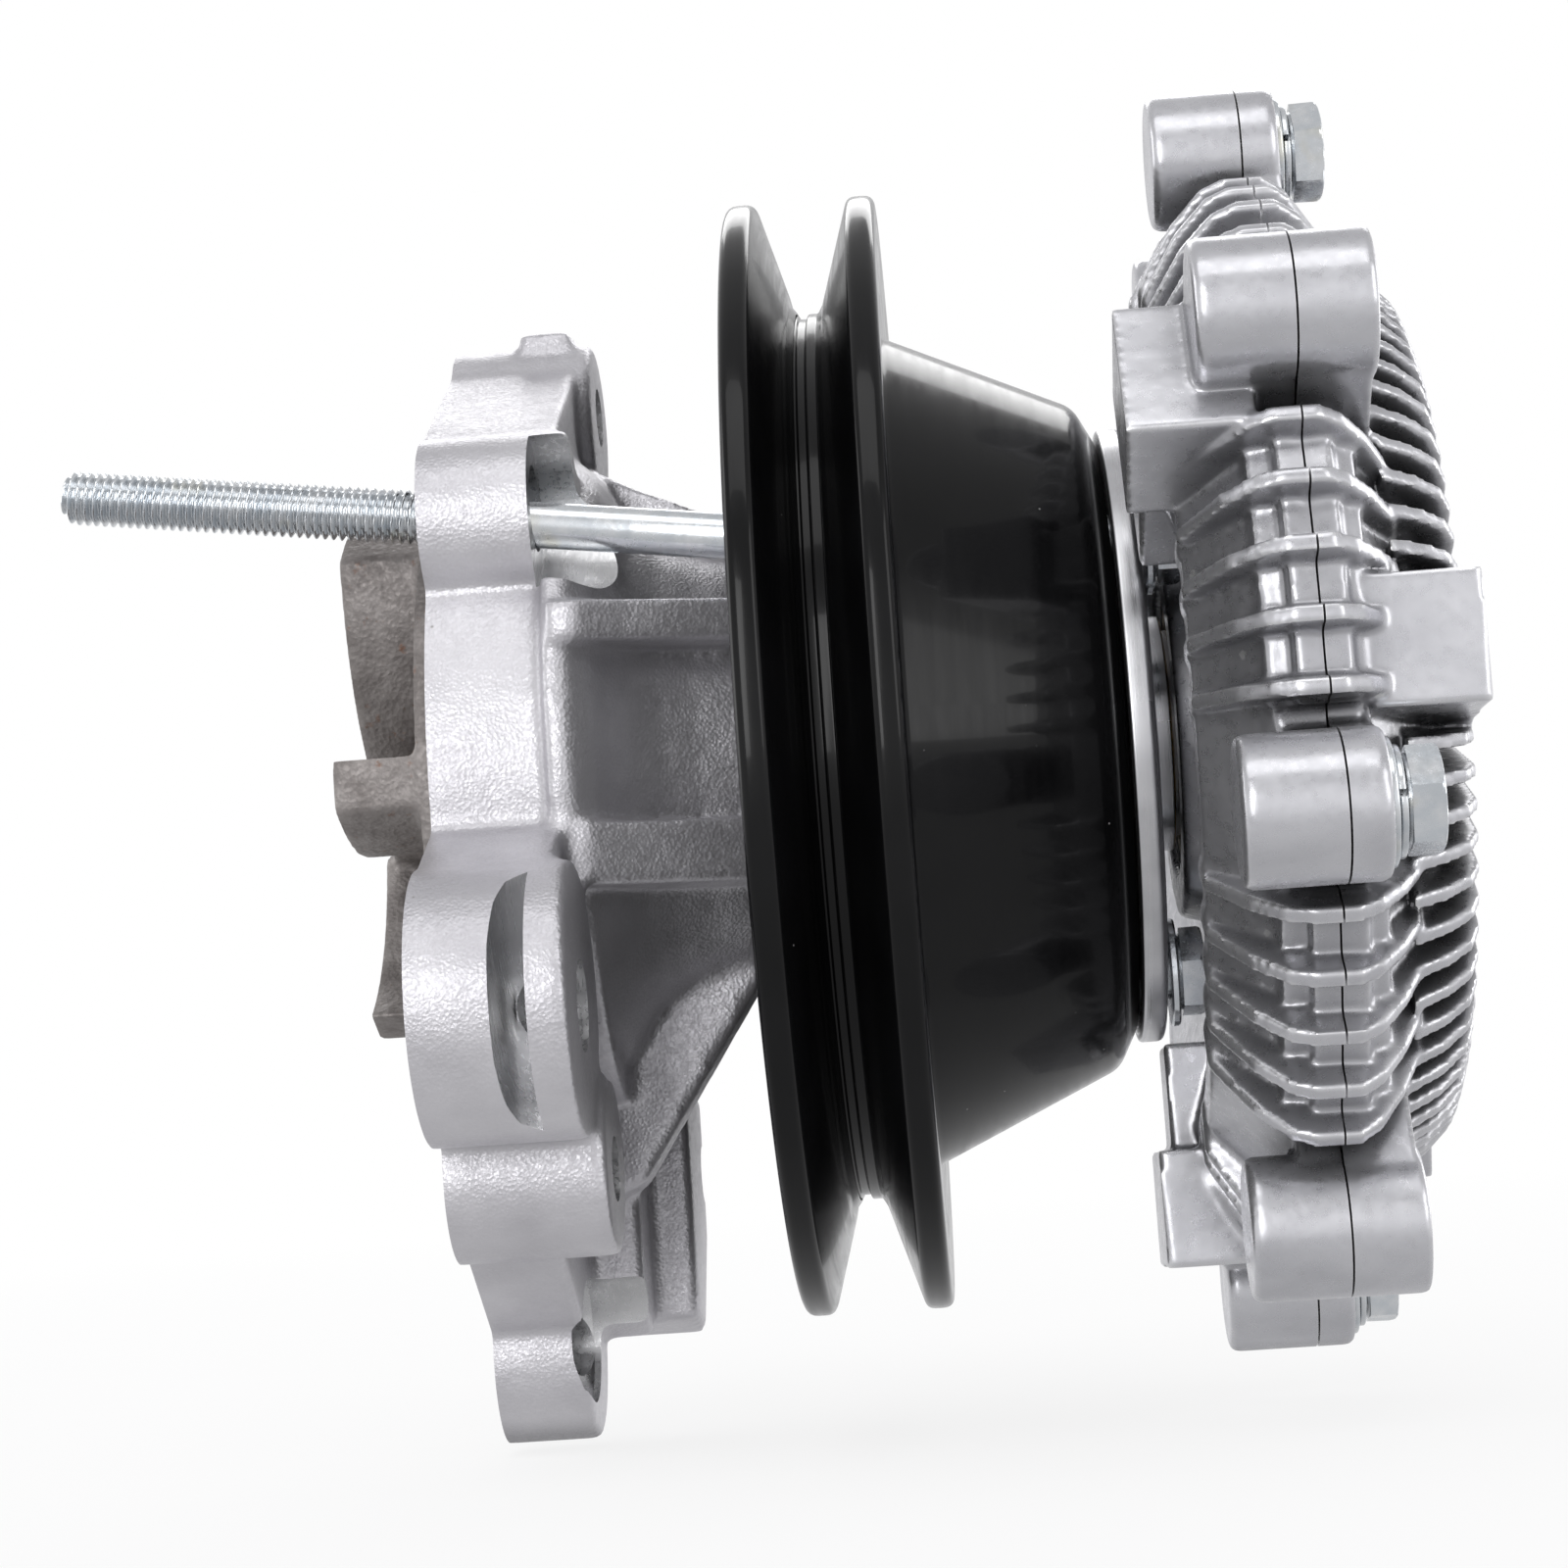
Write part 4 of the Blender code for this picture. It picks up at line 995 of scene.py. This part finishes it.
def clutch_rear():
    obj = cast("clutch_rear_casting", rear_half_stock(), CLUTCH_VOXEL, 7)
    dress(obj, "die_cast_aluminium", "milled_aluminium")
    plane = Stock().rod((0.0, 0.0), REAR_FACE, REAR_FACE + 5.0, 100.0, 96)
    seat = Stock().stacked([(107.2, 23.8), (118.4, 23.8), (118.4, 26.0), (125.0, 26.0)], 96)
    mouth = Stock().stacked([(104.0, 20.5), (107.4, 20.5)], 96)
    holes = drilled(Stock(), BOLTED, [(111.0, CLEAR_R), (124.0, CLEAR_R)])
    drilled(holes, FAN, [(114.0, TAPPED_R), (124.0, TAPPED_R)])
    machine(obj, plane, seat, mouth, holes)
    show(obj, "clutch_housing", "die_cast_aluminium", "clutch_rear_half")


def front_half_stock():
    beyond = FRONT_FACE - PAST_PARTING
    foot_t = 2.0 * BOSS_R - 1.0
    stock = Stock()
    stock.turned([(beyond, CORE_R), (127.0, CORE_R), (138.0, 57.0), (141.5, 40.0), (141.5, 2.0),
                  (137.6, 2.0), (137.6, 42.0), (129.0, 45.0), (129.0, 54.3), (127.2, 54.3),
                  (127.2, 66.0), (beyond, 66.0)], 192)
    stock.turned([(140.5, 18.6), (140.5, 23.0), (143.6, 22.4), (143.6, 19.4)], 128)
    rims(stock, [(beyond, 70.0), (126.4, 70.0), (129.6, 70.0), (129.4, 74.8), (126.8, 76.2),
                 (126.2, RIM_R), (beyond, RIM_R)])
    for place in boss_places(BOLTED):
        stock.rod(place, beyond, 128.3, BOSS_R + MELT, 64, lead=1.2)
    for place in boss_places(FAN):
        stock.rod(place, beyond, FAN_FACE + 0.2, BOSS_R + MELT, 64, lead=0.7)
    for angles, end in ((BOLTED, 128.2), (FAN, 132.6)):
        plates(stock, [(beyond, 62.0), (end, 62.0), (end, 85.0), (beyond, 85.0)], angles,
               foot_t)
    plates(stock, [(beyond, 72.0, 4.6), (beyond, FIN_TIP, 2.4), (124.8, FIN_TIP, 2.4),
                   (127.8, 80.2, 2.3), (131.6, 74.6, 2.2), (134.4, 68.6, 2.0),
                   (135.0, 60.0, 2.4), (127.5, 70.0, 4.4)], rim_fins())
    dome_end, pad_end = FRONT_END - 0.2, FRONT_END + 0.1
    plates(stock, [(133.4, 69.4, 2.2), (138.4, 66.6, 2.1), (142.2, 63.0, 2.0),
                   (dome_end, 58.5, 1.9), (dome_end, 38.0, 1.7), (141.0, 35.0, 1.9),
                   (133.6, 60.0, 2.6)], dome_fins())
    plates(stock, [(128.6, 50.0), (128.6, 75.2), (pad_end, 75.2), (pad_end, 50.0)],
           FRONT_PADS, 17.8)
    return stock


def clutch_front():
    obj = cast("clutch_front_casting", front_half_stock(), CLUTCH_VOXEL, 7)
    dress(obj, "die_cast_aluminium", "milled_aluminium")
    plane = Stock().rod((0.0, 0.0), FRONT_FACE - 5.0, FRONT_FACE, 100.0, 96)
    spots = drilled(Stock(), BOLTED, [(127.5, 9.2), (136.0, 9.8)], 56)
    fan_faces = drilled(Stock(), FAN, [(FAN_FACE, 14.0), (140.0, 14.0)], 56)
    holes = drilled(Stock(), BOLTED, [(120.0, CLEAR_R), (134.0, CLEAR_R)])
    drilled(holes, FAN, [(120.0, TAPPED_R), (FAN_FACE - 0.8, TAPPED_R), (FAN_FACE, 4.2),
                         (137.0, 4.2)])
    spindle = Stock().stacked([(130.0, 3.4), (150.0, 3.4)], 32)
    machine(obj, plane, spots, fan_faces, holes, spindle)
    show(obj, "clutch_housing", "die_cast_aluminium", "clutch_front_half")


# Thermostat ------------------------------------------------------------
def bimetal():
    """Thermostat strip wound about its spindle."""
    turns, strip, first_r, last_r = 3.0, 0.85, 4.2, 16.5
    start, end = low("bimetal_coil")[0], high("bimetal_coil")[0]
    steps = 200
    rings = []
    for step in range(steps + 1):
        share = step / steps
        angle = 360.0 * turns * share
        radius = first_r + (last_r - first_r) * share
        profile = rounded([(start, radius, 0.12), (start, radius + strip, 0.12),
                           (end, radius + strip, 0.12), (end, radius, 0.12)], 2)
        rings.append([(x, *polar(r, angle)) for x, r in profile])
    obj = dress(Stock().rings(rings).build("bimetal_strip_coil"), "bimetal_strip")
    show(obj, "thermostat", "bimetal_strip", "bimetal_coil")
    end = high("bimetal_spindle")[0]
    stock = Stock().turned(rounded([(129.3, 0.0, 0.0), (129.3, 3.0, 0.3), (end, 3.0, 0.5),
                                    (end, 0.0, 0.0)]), 64)
    stock.plate([(129.2, 0.0), (129.2, 31.0), (130.3, 31.0), (130.3, 0.0)], 190.0, 5.0)
    obj = dress(stock.build("bimetal_spindle_turned"), "machined_steel")
    show(obj, "thermostat", "machined_steel", "bimetal_spindle")


# Studio ----------------------------------------------------------------
PAPER = (1.0, 1.0, 1.0)
FLOOR_FADE = (0.22, 1.1)                 # metres from the middle


def floor():
    """A wide pale disc that fades into the backdrop's own tone."""
    bpy.ops.mesh.primitive_circle_add(vertices=96, radius=9.0, fill_type="NGON",
                                      location=(0.05, 0.0, CAD_BOX[0][2] - 0.0015))
    obj = bpy.context.object
    obj.name = "studio_floor"
    material = bpy.data.materials.new("paper_floor")
    material.use_nodes = True
    tree = material.node_tree
    shader = tree.nodes["Principled BSDF"]
    shader.inputs["Base Color"].default_value = (0.86, 0.86, 0.865, 1.0)
    shader.inputs["Roughness"].default_value = 0.9
    glow = tree.nodes.new("ShaderNodeEmission")
    glow.inputs["Color"].default_value = (*PAPER, 1.0)
    geometry = tree.nodes.new("ShaderNodeNewGeometry")
    length = tree.nodes.new("ShaderNodeVectorMath")
    length.operation = "LENGTH"
    fade = tree.nodes.new("ShaderNodeMapRange")
    fade.interpolation_type = "SMOOTHSTEP"
    fade.inputs["From Min"].default_value, fade.inputs["From Max"].default_value = FLOOR_FADE
    fade.inputs["To Min"].default_value = 0.82
    mix = tree.nodes.new("ShaderNodeMixShader")
    tree.links.new(geometry.outputs["Position"], length.inputs[0])
    tree.links.new(length.outputs["Value"], fade.inputs["Value"])
    tree.links.new(fade.outputs["Result"], mix.inputs["Fac"])
    tree.links.new(shader.outputs[0], mix.inputs[1])
    tree.links.new(glow.outputs[0], mix.inputs[2])
    tree.links.new(mix.outputs[0], tree.nodes["Material Output"].inputs["Surface"])
    obj.data.materials.append(material)
    obj.visible_glossy = False


def world():
    """Near-white to the camera, a soft studio gradient to everything else."""
    scene = bpy.context.scene
    scene.world = bpy.data.worlds.new("studio")
    scene.world.use_nodes = True
    tree = scene.world.node_tree
    out = tree.nodes["World Output"]
    backdrop = tree.nodes["Background"]
    backdrop.inputs["Color"].default_value = (*PAPER, 1.0)
    around = tree.nodes.new("ShaderNodeBackground")
    coordinates = tree.nodes.new("ShaderNodeTexCoord")
    split = tree.nodes.new("ShaderNodeSeparateXYZ")
    ramp = tree.nodes.new("ShaderNodeValToRGB")
    height = tree.nodes.new("ShaderNodeMapRange")
    height.inputs["From Min"].default_value = -1.0
    stops = ((0.0, 0.46), (0.36, 0.60), (0.47, 0.90), (0.60, 0.86), (0.80, 0.55), (1.0, 0.55))
    ramp.color_ramp.elements[0].position = stops[0][0]
    ramp.color_ramp.elements[1].position = stops[-1][0]
    for position, _ in stops[1:-1]:
        ramp.color_ramp.elements.new(position)
    for element, (_, value) in zip(ramp.color_ramp.elements, stops):
        element.color = (value, value, value * 1.01, 1.0)
    path = tree.nodes.new("ShaderNodeLightPath")
    mix = tree.nodes.new("ShaderNodeMixShader")
    tree.links.new(coordinates.outputs["Generated"], split.inputs[0])
    tree.links.new(split.outputs[2], height.inputs["Value"])
    tree.links.new(height.outputs["Result"], ramp.inputs["Fac"])
    tree.links.new(ramp.outputs["Color"], around.inputs["Color"])
    tree.links.new(path.outputs["Is Camera Ray"], mix.inputs["Fac"])
    tree.links.new(around.outputs[0], mix.inputs[1])
    tree.links.new(backdrop.outputs[0], mix.inputs[2])
    tree.links.new(mix.outputs[0], out.inputs["Surface"])


SOFTBOXES = (                            # name, place in metres, width, height, watts
    ("key_above", (0.0, -0.55, 0.95), 0.9, 0.5, 2.0),
    ("front_strip", (-0.25, -1.1, 0.25), 0.35, 0.7, 3.0),
    ("right_fill", (0.85, -0.8, 0.35), 0.4, 0.8, 2.0),
    ("back_rim", (0.1, 0.9, 0.75), 0.9, 0.4, 3.0),
    ("left_rear_fill", (-0.9, 0.1, 0.3), 0.5, 0.7, 1.8),
    ("right_end_fill", (1.0, 0.45, 0.2), 0.5, 0.6, 1.8),
)
LIT_PLACE = (0.05, 0.0, 0.0)             # where every softbox points


def softbox(name, place, width, height, power):
    light = bpy.data.lights.new(name, "AREA")
    light.shape = "RECTANGLE"
    light.size, light.size_y = width, height
    light.energy = power
    obj = bpy.data.objects.new(name, light)
    obj.location = Vector(place) + SHAFT * MM
    direction = Vector(LIT_PLACE) - Vector(place)
    obj.rotation_euler = direction.to_track_quat("-Z", "Y").to_euler()
    bpy.context.scene.collection.objects.link(obj)


def lights():
    for row in SOFTBOXES:
        softbox(*row)


CAMERA_PLACE = (74.34, -519.73, -52.14)  # from the shaft's axis, in millimetres
CAMERA_LENS = 78.52


def camera():
    """Level with the pulley's front, a little below the shaft, rolled four degrees."""
    place = (Vector(CAMERA_PLACE) + SHAFT) * MM
    yaw, pitch, roll = -0.0514, 0.0932, -0.0681
    forward = Vector((math.sin(yaw) * math.cos(pitch), math.cos(yaw) * math.cos(pitch),
                      math.sin(pitch)))
    level = Vector((math.cos(yaw), -math.sin(yaw), 0.0))
    upright = level.cross(forward)
    right = level * math.cos(roll) + upright * math.sin(roll)
    up = upright * math.cos(roll) - level * math.sin(roll)
    data = bpy.data.cameras.new("photo_camera")
    data.sensor_width = 36.0
    data.lens = CAMERA_LENS
    data.clip_start, data.clip_end = 0.01, 50.0
    obj = bpy.data.objects.new("photo_camera", data)
    bpy.context.scene.collection.objects.link(obj)
    basis = Matrix((right, up, -forward)).transposed().to_4x4()
    obj.matrix_world = Matrix.Translation(place) @ basis
    bpy.context.scene.camera = obj


dress_nodes()
pump_casting()
impeller()
pump_shaft()
pulley_bowl()
pulley_rear()
pulley_hub()
long_bolt()
flange_bolts()
housing_bolts()
clutch_shaft()
clutch_rear()
clutch_front()
bimetal()
floor()
world()
lights()
camera()
bpy.context.scene.view_settings.view_transform = "Standard"
